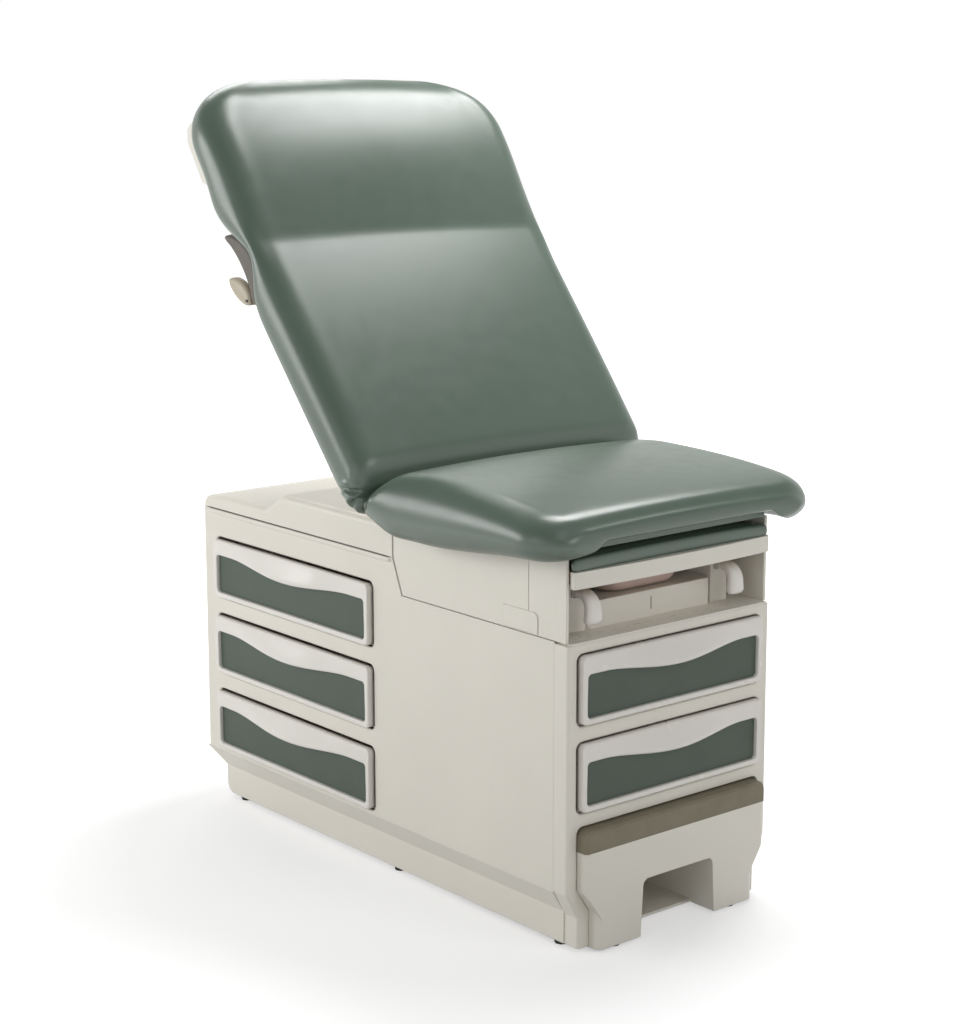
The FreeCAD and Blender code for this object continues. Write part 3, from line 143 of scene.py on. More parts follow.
class UpholsterySizes(bpy.types.PropertyGroup):
    """Sizes of the seat and back upholstery."""

    seat_front: length_setting("Seat front", "Place of the seat's front edge", -0.6365)
    seat_top: length_setting("Seat top", "Height of the seat above the hinge", 0.109)
    seat_rise: length_setting("Seat rise", "How much higher the seat is at the back", 0.008)
    seat_half: length_setting("Seat half", "Half of the seat's width", 0.354)
    lobe: length_setting("Lobe", "Lowest place of the seat's sides, from the hinge", -0.001)
    back_half_low: length_setting("Back half low", "Half of the back's width at the seat", 0.372)
    back_half_high: length_setting("Back half high", "Half of the back's width at the head", 0.387)
    back_thick: length_setting("Back thickness", "Thickness of the back's upholstery", 0.097)
    back_lift: length_setting("Back lift", "Underside of the back above the hinge plane", CUSHION_UNDERSIDE)
    back_end: length_setting("Back end", "Length of the back from the hinge to the head", 0.985)
    bend_at: length_setting("Bend", "Place of the back's bend from the hinge", 0.596)
    back_angle: FloatProperty(
        name="Back angle", description="Rise of the back above level", default=math.radians(50.6),
        subtype="ANGLE",
    )
    bend_angle: FloatProperty(
        name="Bend angle", description="Turn of the head section", default=math.radians(5.6),
        subtype="ANGLE",
    )
    crease: length_setting("Crease", "Depth of the crease between seat and back", 0.040)


class DrawerSizes(bpy.types.PropertyGroup):
    """Sizes of the moulded drawer fronts."""

    side_length: length_setting("Side length", "Recess length of a side drawer", 0.564)
    front_length: length_setting("Front length", "Recess length of a front drawer", 0.470)
    height: length_setting("Height", "Recess height", 0.134)
    gap: length_setting("Gap", "Gap between front and recess", 0.004)
    proud: length_setting("Proud", "How far a front stands out of its recess", 0.012)
    border: length_setting("Border", "Width of the rim round the window", 0.012)
    window_low: length_setting("Window low", "Lower edge of the window", 0.015)
    window_high: length_setting("Window high", "Upper edge of the window", 0.097)
    dip: length_setting("Dip", "How far the pull hangs over the window", 0.015)
    lip: length_setting("Lip", "How far the pull stands out", 0.014)


class StudioSettings(bpy.types.PropertyGroup):
    """Light and camera."""

    focal_length: FloatProperty(
        name="Focal length", description="Lens of the camera", default=75.67, unit="CAMERA"
    )
    lamp_power: FloatProperty(
        name="Lamps", description="Power of the overhead lamp", default=85, unit="POWER"
    )
    ceiling: FloatProperty(
        name="Ceiling", description="Strength of the light from above", default=0.18, subtype="FACTOR",
        min=0, max=1,
    )


# Materials

def range_node(nodes, source, target):
    """Node that maps a source range onto a target range."""
    node = nodes.new("ShaderNodeMapRange")
    node.inputs["From Min"].default_value, node.inputs["From Max"].default_value = source
    node.inputs["To Min"].default_value, node.inputs["To Max"].default_value = target
    return node


class Finish:
    """A material under construction: a Principled shader and the nodes that feed it."""

    def __init__(self, name, colour, roughness):
        self.material = bpy.data.materials.new(name)
        self.material.use_nodes = True
        self.nodes = self.material.node_tree.nodes
        self.links = self.material.node_tree.links
        self.shader = self.nodes["Principled BSDF"]
        self.colour = tuple(colour)
        self.shader.inputs["Base Color"].default_value = (*self.colour, 1)
        self.shader.inputs["Roughness"].default_value = roughness
        self.place = self.nodes.new("ShaderNodeTexCoord").outputs["Object"]
        self.normal = None

    def set(self, socket, value):
        self.shader.inputs[socket].default_value = value
        return self

    def noise(self, scale, detail=3.0, stretch=None):
        """Noise in the object's own metres, drawn out along an axis if asked."""
        texture = self.nodes.new("ShaderNodeTexNoise")
        texture.inputs["Scale"].default_value = scale
        texture.inputs["Detail"].default_value = detail
        self.links.new(self.stretched(stretch), texture.inputs["Vector"])
        return texture.outputs["Fac"]

    def cells(self, scale):
        texture = self.nodes.new("ShaderNodeTexVoronoi")
        texture.feature = "DISTANCE_TO_EDGE"
        texture.inputs["Scale"].default_value = scale
        self.links.new(self.place, texture.inputs["Vector"])
        return texture.outputs["Distance"]

    def stretched(self, stretch):
        if stretch is None:
            return self.place
        mapping = self.nodes.new("ShaderNodeMapping")
        mapping.inputs["Scale"].default_value = stretch
        self.links.new(self.place, mapping.inputs["Vector"])
        return mapping.outputs["Vector"]

    def spread(self, factor, low, high):
        """Map a factor's middle range onto low to high."""
        ramp = range_node(self.nodes, (0.3, 0.7), (low, high))
        self.links.new(factor, ramp.inputs["Value"])
        return ramp.outputs["Result"]

    def tint(self, factor, amount):
        """Let the colour drift darker and lighter by an amount."""
        mix = self.nodes.new("ShaderNodeMix")
        mix.data_type = "RGBA"
        base = self.colour
        mix.inputs["A"].default_value = (*[c * (1 - amount) for c in base], 1)
        mix.inputs["B"].default_value = (*[min(1, c * (1 + amount)) for c in base], 1)
        self.links.new(self.spread(factor, 0, 1), mix.inputs["Factor"])
        self.links.new(mix.outputs["Result"], self.shader.inputs["Base Color"])
        return self

    def gloss(self, factor, low, high):
        self.links.new(self.spread(factor, low, high), self.shader.inputs["Roughness"])
        return self

    def soft_edges(self, radius):
        """Catch the light on edges as a small radius does."""
        bevel = self.nodes.new("ShaderNodeBevel")
        bevel.samples = 6
        bevel.inputs["Radius"].default_value = radius
        self.normal = bevel.outputs["Normal"]
        self.links.new(self.normal, self.shader.inputs["Normal"])
        return self

    def relief(self, height, strength, distance):
        bump = self.nodes.new("ShaderNodeBump")
        bump.inputs["Strength"].default_value = strength
        bump.inputs["Distance"].default_value = distance
        self.links.new(height, bump.inputs["Height"])
        if self.normal is not None:
            self.links.new(self.normal, bump.inputs["Normal"])
        self.normal = bump.outputs["Normal"]
        self.links.new(self.normal, self.shader.inputs["Normal"])
        return self


def powder_coat(colours):
    finish = Finish("body_paint", colours.paint, 0.42)
    finish.soft_edges(0.0025)
    finish.tint(finish.noise(5.0), 0.02).gloss(finish.noise(14.0), 0.38, 0.48)
    return finish.relief(finish.noise(520.0, 2.0), 0.12, 0.0004).material


def moulded_trim(name, colour, roughness, edge):
    finish = Finish(name, colour, roughness)
    finish.soft_edges(edge)
    finish.tint(finish.noise(4.0), 0.018).gloss(finish.noise(11.0), roughness - 0.05, roughness + 0.06)
    return finish.relief(finish.noise(900.0, 2.0), 0.06, 0.0003).material


def upholstery_vinyl(colours):
    finish = Finish("green_vinyl", colours.vinyl, 0.3)
    finish.set("Specular IOR Level", 0.65)
    finish.tint(finish.noise(6.0), 0.04).gloss(finish.noise(30.0), 0.28, 0.33)
    finish.relief(finish.cells(620.0), 0.035, 0.0005)
    return finish.relief(finish.noise(1400.0, 2.0), 0.02, 0.0003).material


def insert_plate(colours):
    finish = Finish("green_insert", colours.insert, 0.5)
    finish.set("Specular IOR Level", 0.25)
    finish.tint(finish.noise(18.0), 0.03)
    return finish.relief(finish.noise(1500.0, 1.0), 0.08, 0.0003).material


def plywood():
    finish = Finish("plywood", linear(176, 146, 108), 0.6)
    grain = finish.noise(9.0, 6.0, (14.0, 1.0, 14.0))
    finish.tint(grain, 0.22)
    return finish.relief(grain, 0.1, 0.0006).material


def plated_steel():
    finish = Finish("steel", linear(196, 198, 198), 0.34)
    finish.set("Metallic", 1.0)
    brushed = finish.noise(60.0, 2.0, (1.0, 0.04, 1.0))
    finish.tint(finish.noise(9.0), 0.06).gloss(brushed, 0.26, 0.42)
    return finish.relief(brushed, 0.04, 0.0002).material


def grained_plastic(name, colour, roughness):
    finish = Finish(name, colour, roughness)
    finish.soft_edges(0.002)
    finish.tint(finish.noise(24.0), 0.05)
    return finish.relief(finish.cells(900.0), 0.12, 0.0004).material


def ribbed_rubber(colours):
    finish = Finish("step_rubber", colours.tread, 0.72)
    finish.soft_edges(0.003)
    finish.tint(finish.noise(30.0, 5.0), 0.06)
    return finish.relief(finish.noise(700.0, 2.0), 0.2, 0.0005).material


def black_rubber():
    finish = Finish("black_rubber", linear(34, 33, 32), 0.75)
    finish.tint(finish.noise(60.0), 0.15)
    return finish.relief(finish.noise(600.0), 0.2, 0.0004).material


def make_finishes(colours):
    return {
        "body_paint": powder_coat(colours),
        "white_trim": moulded_trim("white_trim", colours.trim, 0.36, 0.0022),
        "drawer_front": moulded_trim("drawer_front", colours.fronts, 0.22, 0.001),
        "green_vinyl": upholstery_vinyl(colours),
        "green_insert": insert_plate(colours),
        "plywood": plywood(),
        "steel": plated_steel(),
        "dark_plastic": grained_plastic("dark_plastic", colours.grip, 0.55),
        "beige_plastic": grained_plastic("beige_plastic", colours.lever, 0.42),
        "black_rubber": black_rubber(),
        "step_rubber": ribbed_rubber(colours),
        "tray_plastic": moulded_trim("tray_plastic", linear(214, 211, 202), 0.45, 0.001),
        "pan_plastic": moulded_trim("pan_plastic", colours.pan, 0.28, 0.002),
    }


# Mesh helpers

def new_piece(name, points, faces, finish, body):
    """Mesh piece with one finish that rides on a body."""
    mesh = bpy.data.meshes.new(name)
    mesh.from_pydata([tuple(p) for p in points], [], faces)
    mesh.materials.append(finishes[finish])
    mesh.shade_smooth()
    piece = bpy.data.objects.new(name, mesh)
    bpy.context.scene.collection.objects.link(piece)
    face_outward(mesh)
    if body:
        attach(piece, body)
    return piece


def face_outward(mesh):
    work = bmesh.new()
    work.from_mesh(mesh)
    bmesh.ops.recalc_face_normals(work, faces=work.faces)
    work.to_mesh(mesh)
    work.free()


def apply_modifiers(piece):
    """Put the evaluated mesh in place of the piece's own."""
    graph = bpy.context.evaluated_depsgraph_get()
    mesh = bpy.data.meshes.new_from_object(piece.evaluated_get(graph))
    piece.modifiers.clear()
    piece.data = mesh
    mesh.shade_smooth()


def subdivide(piece, levels):
    modifier = piece.modifiers.new("smooth", "SUBSURF")
    modifier.levels = levels
    modifier.render_levels = levels
    apply_modifiers(piece)


def ring_faces(rows, count, first=0):
    """Quads between neighbouring closed rows of count points each."""
    faces = []
    for row in range(rows - 1):
        for i in range(count):
            j = (i + 1) % count
            low, high = first + row * count, first + (row + 1) * count
            faces.append((low + i, low + j, high + j, high + i))
    return faces


def cap_faces(count, first):
    """Close a row whose first half runs over the top and second half runs back underneath."""
    half = count // 2
    faces = [(first, first + 1, first + count - 1)]
    for i in range(1, half - 1):
        faces.append((first + i, first + i + 1, first + count - i - 1, first + count - i))
    faces.append((first + half - 1, first + half, first + half + 1))
    return faces


def cushion_mesh(rows):
    """Points and faces of a cushion given by its sections."""
    count = len(rows[0])
    points = [p for row in rows for p in row]
    faces = ring_faces(len(rows), count)
    faces += cap_faces(count, 0) + cap_faces(count, (len(rows) - 1) * count)
    return points, faces


def rounded_drop(depth, reach, drop):
    """How far a rounded end still falls short at a depth from it: a quarter of an ellipse."""
    if depth >= reach:
        return 0.0
    return drop * (1 - math.sqrt(max(0.0, 1 - (1 - depth / reach) ** 2)))


def smooth(value):
    """Ease in and out of a share, which is kept between 0 and 1."""
    value = np.clip(value, 0, 1)
    return value * value * (3 - 2 * value)


def bell(distance, reach):
    """1 at no distance, fading out past the reach to both sides."""
    return np.exp(-((distance / reach) ** 2))


def mixed(first, second, share):
    """Value on the way from a first to a second one."""
    return first + (second - first) * share


def vertex_rows(mesh, kind):
    """The places or normals of a mesh's vertices, one in each row."""
    values = np.zeros(len(mesh.vertices) * 3)
    mesh.vertices.foreach_get(kind, values)
    return values.reshape(-1, 3)


def graded_places(length, fine, coarse, growth=0.22):
    """Places from 0 to length that lie close together near both ends."""
    places = [0.0]
    while places[-1] < length - fine * 0.6:
        here = places[-1]
        step = min(coarse, fine + growth * min(here, length - here))
        places.append(min(length, here + step))
    places[-1] = length
    return places


# Upholstery

def soft_quarter(count, power):
    """Shares along and across a rounded quarter, from its side towards its top."""
    for i in range(count):
        turn = math.pi / 2 * i / count
        yield math.cos(turn) ** (2 / power), math.sin(turn) ** (2 / power)


def cushion_loop(half, face, foot, inner, lobe, rim, belly, shoulder, top, square=2.0):
    """Closed section, from the right side over the top to the left and back underneath.

    Half widths: half at the belly, face at the shoulder, foot at the lobe and inner at the rim. Heights: lobe
    is the lowest place, rim the underside, belly the widest place, shoulder the top's edge and top its crown.
    """
    points = [
        (mixed(face, half, across), mixed(belly, shoulder, up))
        for across, up in soft_quarter(SIDE_POINTS, square)
    ]
    for i in range(TOP_POINTS):
        u = face * (1 - i / TOP_POINTS)
        points.append((u, mixed(shoulder, top, 1 - (u / face) ** 2)))
    right_top = list(points)
    points.append((0.0, top))
    points += [(-u, v) for u, v in reversed(right_top[1:])]
    lower = [
        (mixed(foot, half, across), mixed(belly, lobe, down))
        for across, down in soft_quarter(LOWER_SIDE_POINTS, 2.0)
    ]
    for i in range(LIP_POINTS):
        share = i / LIP_POINTS
        lower.append((mixed(foot, inner, share), mixed(lobe, rim, smooth(share))))
    for i in range(UNDER_POINTS):
        lower.append((inner * (1 - i / UNDER_POINTS), rim))
    points += [(-u, v) for u, v in lower]
    points.append((0.0, rim))
    points += list(reversed(lower[1:]))
    return points


def seat_loop(sizes, depth, to_crease):
    """Section of the seat at a depth behind its front edge; near the crease it turns into the back's."""
    place = depth + FRONT_BLUNT
    join = 1 - smooth(to_crease / 0.15)
    half = sizes.seat_half - rounded_drop(place, reach=0.088, drop=0.100)
    half -= rounded_drop(to_crease, reach=0.040, drop=0.014)
    top = sizes.seat_top + sizes.seat_rise * place / (place + to_crease) + front_bead(depth)
    top -= rounded_drop(place, reach=0.330, drop=0.043) + rounded_drop(place, reach=0.052, drop=0.036)
    top -= rounded_drop(to_crease, reach=0.055, drop=sizes.crease)
    above_deck = 0.0003
    rim = DECK_TOP + above_deck - HINGE.z + rounded_drop(place, reach=0.100, drop=0.020)
    rim = mixed(rim, sizes.back_lift, join)
    lobe = seat_lobe(sizes, place, to_crease)
    foot = half - mixed(0.052, 0.022, join)
    inner = mixed(min(0.268, half - 0.082), half - 0.048, join)
    belly = mixed(lobe, top, mixed(0.40, 0.34, join))
    shoulder = top - mixed(0.005, 0.009, join)
    return cushion_loop(half, half - 0.070, foot, inner, lobe, rim, belly, shoulder, top)


def seat_lobe(sizes, place, to_crease):
    """Lowest place of the seat's sides: it sags towards the crease and rises to the back's underside there."""
    sag, sag_start, sag_reach = 0.020, 0.48, 0.31
    lobe = sizes.lobe + rounded_drop(place, reach=0.060, drop=0.026)
    lobe += rounded_drop(place, reach=0.400, drop=0.008)
    lobe -= sag * smooth((sag_start - to_crease) / sag_reach)
    return mixed(sizes.back_lift, lobe, smooth(to_crease / 0.11))


def front_bead(depth):
    """Lip along the seat's front edge, where the cover is drawn round the board's rim."""
    height = 0.0030
    lip = bell(depth - 0.003, reach=0.005)
    hollow = bell(depth - 0.015, reach=0.007)
    return height * (lip - hollow)


def back_loop(sizes, along):
    """Section of the back at a distance from the hinge; heights are from its own base line."""
    depth = sizes.back_end - along
    taper_length, fullness = 0.936, 0.003
    half = mixed(sizes.back_half_high, sizes.back_half_low, min(1.0, depth / taper_length)) + fullness
    half -= rounded_drop(depth, reach=0.145, drop=0.172) + rounded_drop(along, reach=0.040, drop=0.028)
    pillow = back_pillow(sizes, along)
    thick = sizes.back_thick + pillow - rounded_drop(depth, reach=0.085, drop=0.052)
    thick -= rounded_drop(along, reach=0.050, drop=sizes.crease)
    base = sizes.back_lift + rounded_drop(depth, reach=0.030, drop=0.014)
    top = base + thick
    crown = 0.009 + 0.35 * pillow - rounded_drop(depth, reach=0.060, drop=0.005)
    head_tuck = smooth((along - 0.70) / 0.10)
    foot = half - mixed(0.022, 0.015, smooth(along / 0.10)) - 0.024 * head_tuck
    lip = 0.026
    belly = base + thick * mixed(0.34, 0.40, head_tuck)
    loop = cushion_loop(half, half - 0.074, foot, foot - lip, base, base, belly, top - crown, top, square=2.6)
    scallop = grip_scallop(along)
    return [lift_round_grip(u, v, base, scallop) for u, v in loop]


def back_pillow(sizes, along):
    """Lengthwise fullness of the back, evened out over five neighbouring places."""
    spacing = 0.009
    return sum(roll_height(sizes, along + spacing * step) for step in range(-2, 3)) / 5


def roll_height(sizes, along):
    """A long roll up to the bend and a shorter, fuller one at the head."""
    long_roll, head_roll = 0.005, 0.019
    if along < sizes.bend_at:
        return long_roll * math.sin(math.pi * along / sizes.bend_at)
    return head_roll * math.sin(math.pi * (along - sizes.bend_at) / (sizes.back_end - sizes.bend_at))


def grip_scallop(along):
    """How far the back's lower edge is drawn up to let the release grip in."""
    height = 0.046
    reach = 0.080 if along > GRIP_ALONG else 0.062
    return height * bell(along - GRIP_ALONG, reach)


def lift_round_grip(u, v, base, scallop):
    """Draw the side's lower edge up and in round a release grip."""
    inner_edge, ease, fade_height, inward = 0.299, 0.026, 0.085, 0.30
    beside = smooth((abs(u) - inner_edge) / ease)
    fade = max(0.0, 1 - (v - base) / fade_height)
    lift = scallop * beside * fade
    return u - math.copysign(inward * lift, u), v + lift


def fold_angles(sizes):
    """Lean of the crease's plane from the back's normal and from upright."""
    from_back = math.atan2(CUSHION_START, sizes.back_lift + sizes.back_thick)
    return from_back, sizes.back_angle - from_back


def back_frame(sizes):
    """Placing of what is described lying flat, with the hinge axis as its origin."""
    return Matrix.Translation(HINGE) @ Matrix.Rotation(sizes.back_angle, 4, "X")


def leaning_row(loop, origin, lean, rise):
    """Points of a section that stands at a lean; dividing by rise makes up for the height lost to it."""
    up = Vector((0, -math.sin(lean), math.cos(lean)))
    return [origin + Vector((u, 0, 0)) + up * (v / rise) for u, v in loop]


def seat_rows(sizes):
    """Rows of the seat from its front edge, which lean over into the crease's plane."""
    fold_back, fold_seat = fold_angles(sizes)
    length, lean_reach = HINGE.y - sizes.seat_front, 0.275
    for depth in graded_places(length, ROW_FINE, ROW_COARSE, growth=0.12):
        to_crease = length - depth
        lean = fold_seat * smooth(1 - to_crease / lean_reach)
        rise = math.cos(lean) + (math.cos(fold_back) - math.cos(fold_seat)) * (lean / fold_seat) ** 4
        origin = Vector((0, sizes.seat_front + depth, HINGE.z))
        yield leaning_row(seat_loop(sizes, depth, to_crease), origin, lean, rise)


def back_rows(sizes):
    """Rows of the back, lying flat, from the crease over the bend to the head."""
    fold_back, lean_reach = fold_angles(sizes)[0], 0.25
    to_bend = graded_places(sizes.bend_at, ROW_FINE, ROW_COARSE, growth=0.12)
    past_bend = graded_places(sizes.back_end - sizes.bend_at, ROW_FINE, ROW_COARSE)
    for along in to_bend[1:] + [sizes.bend_at + place for place in past_bend[1:]]:
        past = along - sizes.bend_at
        lean = -fold_back * (1 - smooth(along / lean_reach))
        bend = sizes.bend_angle * smooth(past / (2 * BEND_EASE) + 0.5)
        origin = Vector((0, along, bend_rise(past, sizes.bend_angle)))
        yield leaning_row(back_loop(sizes, along), origin, lean + bend, math.cos(lean))


def cover_rows(sizes):
    """Rows of points of the one-piece cover, from the seat's front to the head."""
    raised = back_frame(sizes)
    return [*seat_rows(sizes), *([raised @ point for point in row] for row in back_rows(sizes))]


def bend_rise(past, angle):
    """Rise of the base line past the bend, eased a little way to each side of it."""
    if past <= -BEND_EASE:
        return 0.0
    if past >= BEND_EASE:
        return past * math.tan(angle)
    return math.tan(angle) * (past + BEND_EASE) ** 2 / (4 * BEND_EASE)


def pinch_wrinkles(points, normals, sizes):
    """Puckers that run out from each end of the crease, as moves of the points along their normals."""
    wobble, wobble_length, start_reach = 0.0022, 0.008, 0.016
    ridge_off, ridge_share = 0.0095, 0.45
    lean = fold_angles(sizes)[1]
    run = points[:, 1] - HINGE.y + PINCH_HEIGHT * math.sin(lean)
    rise = points[:, 2] - HINGE.z - PINCH_HEIGHT * math.cos(lean)
    beside = smooth((np.abs(points[:, 0]) - 0.285) / 0.030)
    moves = np.zeros(len(points))
    for degrees, length, depth in PUCKERS:
        heading = math.radians(degrees)
        along = run * math.cos(heading) + rise * math.sin(heading)
        off = rise * math.cos(heading) - run * math.sin(heading) + wobble * np.sin(along / wobble_length)
        fade = smooth(along / start_reach) * (1 - smooth(along / length * 2 - 1))
        valley = bell(off, reach=0.0045)
        ridges = bell(np.abs(off) - ridge_off, reach=0.0050)
        moves += depth * fade * (ridge_share * ridges - valley)
    return points + normals * (moves * beside)[:, None]


def build_cover(sizes):
    points, faces = cushion_mesh(cover_rows(sizes))
    cover = new_piece("seat_and_back_cover", points, faces, "green_vinyl", None)
    subdivide(cover, 1)
    mesh = cover.data
    moved = pinch_wrinkles(vertex_rows(mesh, "co"), vertex_rows(mesh, "normal"), sizes)
    mesh.vertices.foreach_set("co", moved.ravel())
    mesh.update()
    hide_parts("seat_cushion", "backrest_cushion", "crease_fold")
    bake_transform(cover)


def footrest_stations(length):
    """Depth, half width and height along the footrest's cushion: a roll in front, then the pad."""
    roll_half, roll_high = 0.248, 0.0245
    pad_start, pad_half, pad_high = 0.0105, 0.2275, 0.0307
    hollow, hollow_reach = 0.0085, 0.016
    for depth in (0.0, 0.0008, 0.002, 0.0035, 0.005, 0.007, 0.009):
        wide = roll_half - rounded_drop(depth, reach=0.005, drop=0.006)
        yield depth, wide, roll_high - rounded_drop(depth, reach=0.006, drop=0.012)
    for step in graded_places(length - pad_start, 0.004, 0.030):
        to_end = length - (pad_start + step)
        wide = pad_half - rounded_drop(to_end, reach=0.040, drop=0.016)
        high = pad_high - hollow * math.exp(-step / hollow_reach)
        yield pad_start + step, wide, high - rounded_drop(to_end, reach=0.030, drop=0.014)


def build_footrest_cushion():
    """Crowned pad on the footrest board, with a roll as wide as the bar along its front edge."""
    low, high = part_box("footrest_pad")
    rows = []
    for depth, wide, top in footrest_stations(high.y - low.y):
        loop = cushion_loop(
            wide, wide - 0.012, wide - 0.006, wide - 0.030, 0.0, 0.0, top * 0.46, top - 0.0025, top
        )
        rows.append([Vector((u, low.y + depth, low.z + v)) for u, v in loop])
    points, faces = cushion_mesh(rows)
    cushion = new_piece("footrest_cushion", points, faces, "green_vinyl", "footrest")
    subdivide(cushion, 1)
    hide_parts("footrest_pad")


# Small moulded pieces

def arc_through(first, middle, last, count):
    """Points along the arc through three points of a plane, with its ends."""
    start, through, end = Vector(first), Vector(middle), Vector(last)
    a, b = through - start, end - start
    twice = 2 * (a.x * b.y - a.y * b.x)
    to_centre = Vector((
        b.y * a.length_squared - a.y * b.length_squared,
        a.x * b.length_squared - b.x * a.length_squared,
    )) / twice
    centre = start + to_centre

    def heading(spot):
        return math.atan2(spot.y - centre.y, spot.x - centre.x)

    begin = heading(start)
    whole = (heading(end) - begin) % math.tau
    if (heading(through) - begin) % math.tau > whole:
        whole -= math.tau
    turns = [begin + whole * i / (count - 1) for i in range(count)]
    return [centre + Vector((math.cos(t), math.sin(t))) * to_centre.length for t in turns]


def swept_rings(stations, middle_x, power=2.5, count=28):
    """Rings across a form swept in the YZ plane; a station is its centre, side, half thickness and width."""
    rows = []
    for centre, side, thick, wide in stations:
        row = []
        for i in range(count):
            turn = math.tau * i / count
            flat, deep = math.cos(turn), math.sin(turn)
            spot = centre + side * math.copysign(abs(flat) ** (2 / power), flat) * thick
            x = middle_x + math.copysign(abs(deep) ** (2 / power), deep) * wide
            row.append(Vector((x, spot.x, spot.y)))
        rows.append(row)
    return rows


def ringed_mesh(rows):
    """Points and faces of a form given by rings, closed at both ends."""
    count = len(rows[0])
    points = [p for row in rows for p in row]
    last = (len(rows) - 1) * count
    faces = ring_faces(len(rows), count)
    faces += [tuple(range(count)), tuple(range(last + count - 1, last - 1, -1))]
    return points, faces


def plate_mesh(outline, near_x, far_x):
    """Points and faces of a plate with an outline in the YZ plane, between two places across the table."""
    count = len(outline)
    points = [Vector((x, *spot)) for x in (near_x, far_x) for spot in outline]
    faces = [tuple(range(count)), tuple(range(2 * count - 1, count - 1, -1))]
    for i in range(count):
        j = (i + 1) % count
        faces.append((i, j, count + j, count + i))
    return points, faces


def joined(parts):
    """One list of points and faces from several."""
    points, faces = [], []
    for some_points, some_faces in parts:
        first = len(points)
        points += some_points
        faces += [tuple(first + i for i in face) for face in some_faces]
    return points, faces


def end_round(i, last, blunt):
    """Share of the full size that is left near a rounded end."""
    near = min(1.0, (min(i, last - i) + 0.15) / blunt)
    return math.sqrt(1 - (1 - near) ** 2)


def crescent_stations(outer, inner, wide, blunt):
    """Stations between the two arcs of a crescent, rounded off at both ends."""
    last = len(outer) - 1
    for i, (out, back) in enumerate(zip(outer, inner)):
        keep = end_round(i, last, blunt)
        across = out - back
        yield (out + back) / 2, across.normalized(), across.length / 2 * keep, wide * (0.5 + 0.5 * keep)


def handle_spots(*spots):
    """Places on the lying back, from the start of its cushion's underside."""
    return [Vector((CUSHION_START + along, CUSHION_UNDERSIDE + above)) for along, above in spots]


def grip_parts(sign):
    """Curved grip with its hanger, the pin of its lever and the tie to the back's panel."""
    middle, half_width, pin_radius = 0.343, 0.015, 0.003
    outer = arc_through(*handle_spots((0.447, -0.008), (0.540, 0.041), (0.628, -0.014)), 33)
    inner = arc_through(*handle_spots((0.462, -0.024), (0.535, -0.011), (0.622, -0.020)), 33)
    rows = swept_rings(crescent_stations(outer, inner, half_width, blunt=3), sign * middle)
    hanger = handle_spots(
        (0.449, -0.008), (0.466, -0.018), (0.492, -0.030), (0.488, -0.043), (0.472, -0.043), (0.460, -0.026)
    )
    tie = handle_spots((0.528, -0.004), (0.590, -0.004), (0.590, -0.0084), (0.528, -0.0084))
    pivot = handle_spots((0.481, -0.035))[0]
    turns = [math.tau * i / 16 for i in range(16)]
    pin = [pivot + Vector((math.cos(t), math.sin(t))) * pin_radius for t in turns]
    return joined([
        ringed_mesh(rows),
        plate_mesh(hanger, sign * 0.3245, sign * 0.3280),
        plate_mesh(tie, sign * 0.3000, sign * 0.3260),
        plate_mesh(pin, sign * 0.3290, sign * 0.3568),
    ])


def lever_parts(sign):
    """Thumb-sized lever, fuller at its free end."""
    middle, half_width = 0.34375, 0.01125
    outer = arc_through(*handle_spots((0.472, -0.027), (0.520, -0.028), (0.556, -0.057)), 25)
    inner = arc_through(*handle_spots((0.470, -0.040), (0.508, -0.067), (0.551, -0.069)), 25)
    return ringed_mesh(swept_rings(crescent_stations(outer, inner, half_width, blunt=5), sign * middle))


def build_release_handles(sizes):
    raised = back_frame(sizes)
    for side, sign in SIDES:
        points, faces = grip_parts(sign)
        grip = new_piece(
            f"release_grip_{side}_moulding", [raised @ p for p in points], faces, "dark_plastic",
            "backrest",
        )
        grip.data.set_sharp_from_angle(angle=math.radians(50))
        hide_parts(f"release_grip_{side}")
        points, faces = lever_parts(sign)
        lever = new_piece(
            f"release_lever_{side}_moulding", [raised @ p for p in points], faces, "beige_plastic",
            f"release_lever_{side}",
        )
        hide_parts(f"release_lever_{side}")


def hook_stations(low, high):
    """Stations of a stirrup's hook, from its arm over the bend and down to its tip."""
    arm_half, radius, reach, root = 0.009, 0.026, 0.036, 0.008
    arm_z = high.z - arm_half
    bend = Vector((low.y + reach, arm_z - radius))
    spots = [(Vector((high.y - root * i / 3, arm_z)), Vector((0, 1))) for i in range(3)]
    for i in range(15):
        turn = math.pi / 2 * (1 + i / 14)
        out = Vector((math.cos(turn), math.sin(turn)))
        spots.append((bend + out * radius, out))
    for drop in (0.006, 0.012, 0.0165, 0.020, 0.0225, 0.0240, 0.0247):
        spots.append((bend + Vector((-radius, -drop)), Vector((-1, 0))))
    tip_round = 0.010
    for centre, side in spots:
        down = max(0.0, high.z - centre.y) / (high.z - low.z)
        tip = math.sqrt(max(0.05, min(1.0, (centre.y - low.z) / tip_round)))
        thick, wide = mixed(0.0092, 0.0120, down), mixed(0.0145, 0.0205, down)
        yield centre, side, thick * tip, wide * mixed(0.50, 1.0, tip)


def build_stirrup_hooks():
    for side in ("left", "right"):
        low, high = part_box(f"stirrup_{side}_hook")
        middle = (low.x + high.x) / 2
        points, faces = ringed_mesh(swept_rings(hook_stations(low, high), middle, 2.4))
        hook = new_piece(
            f"stirrup_{side}_hook_moulding", points, faces, "drawer_front", f"stirrup_{side}"
        )
        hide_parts(f"stirrup_{side}_hook")


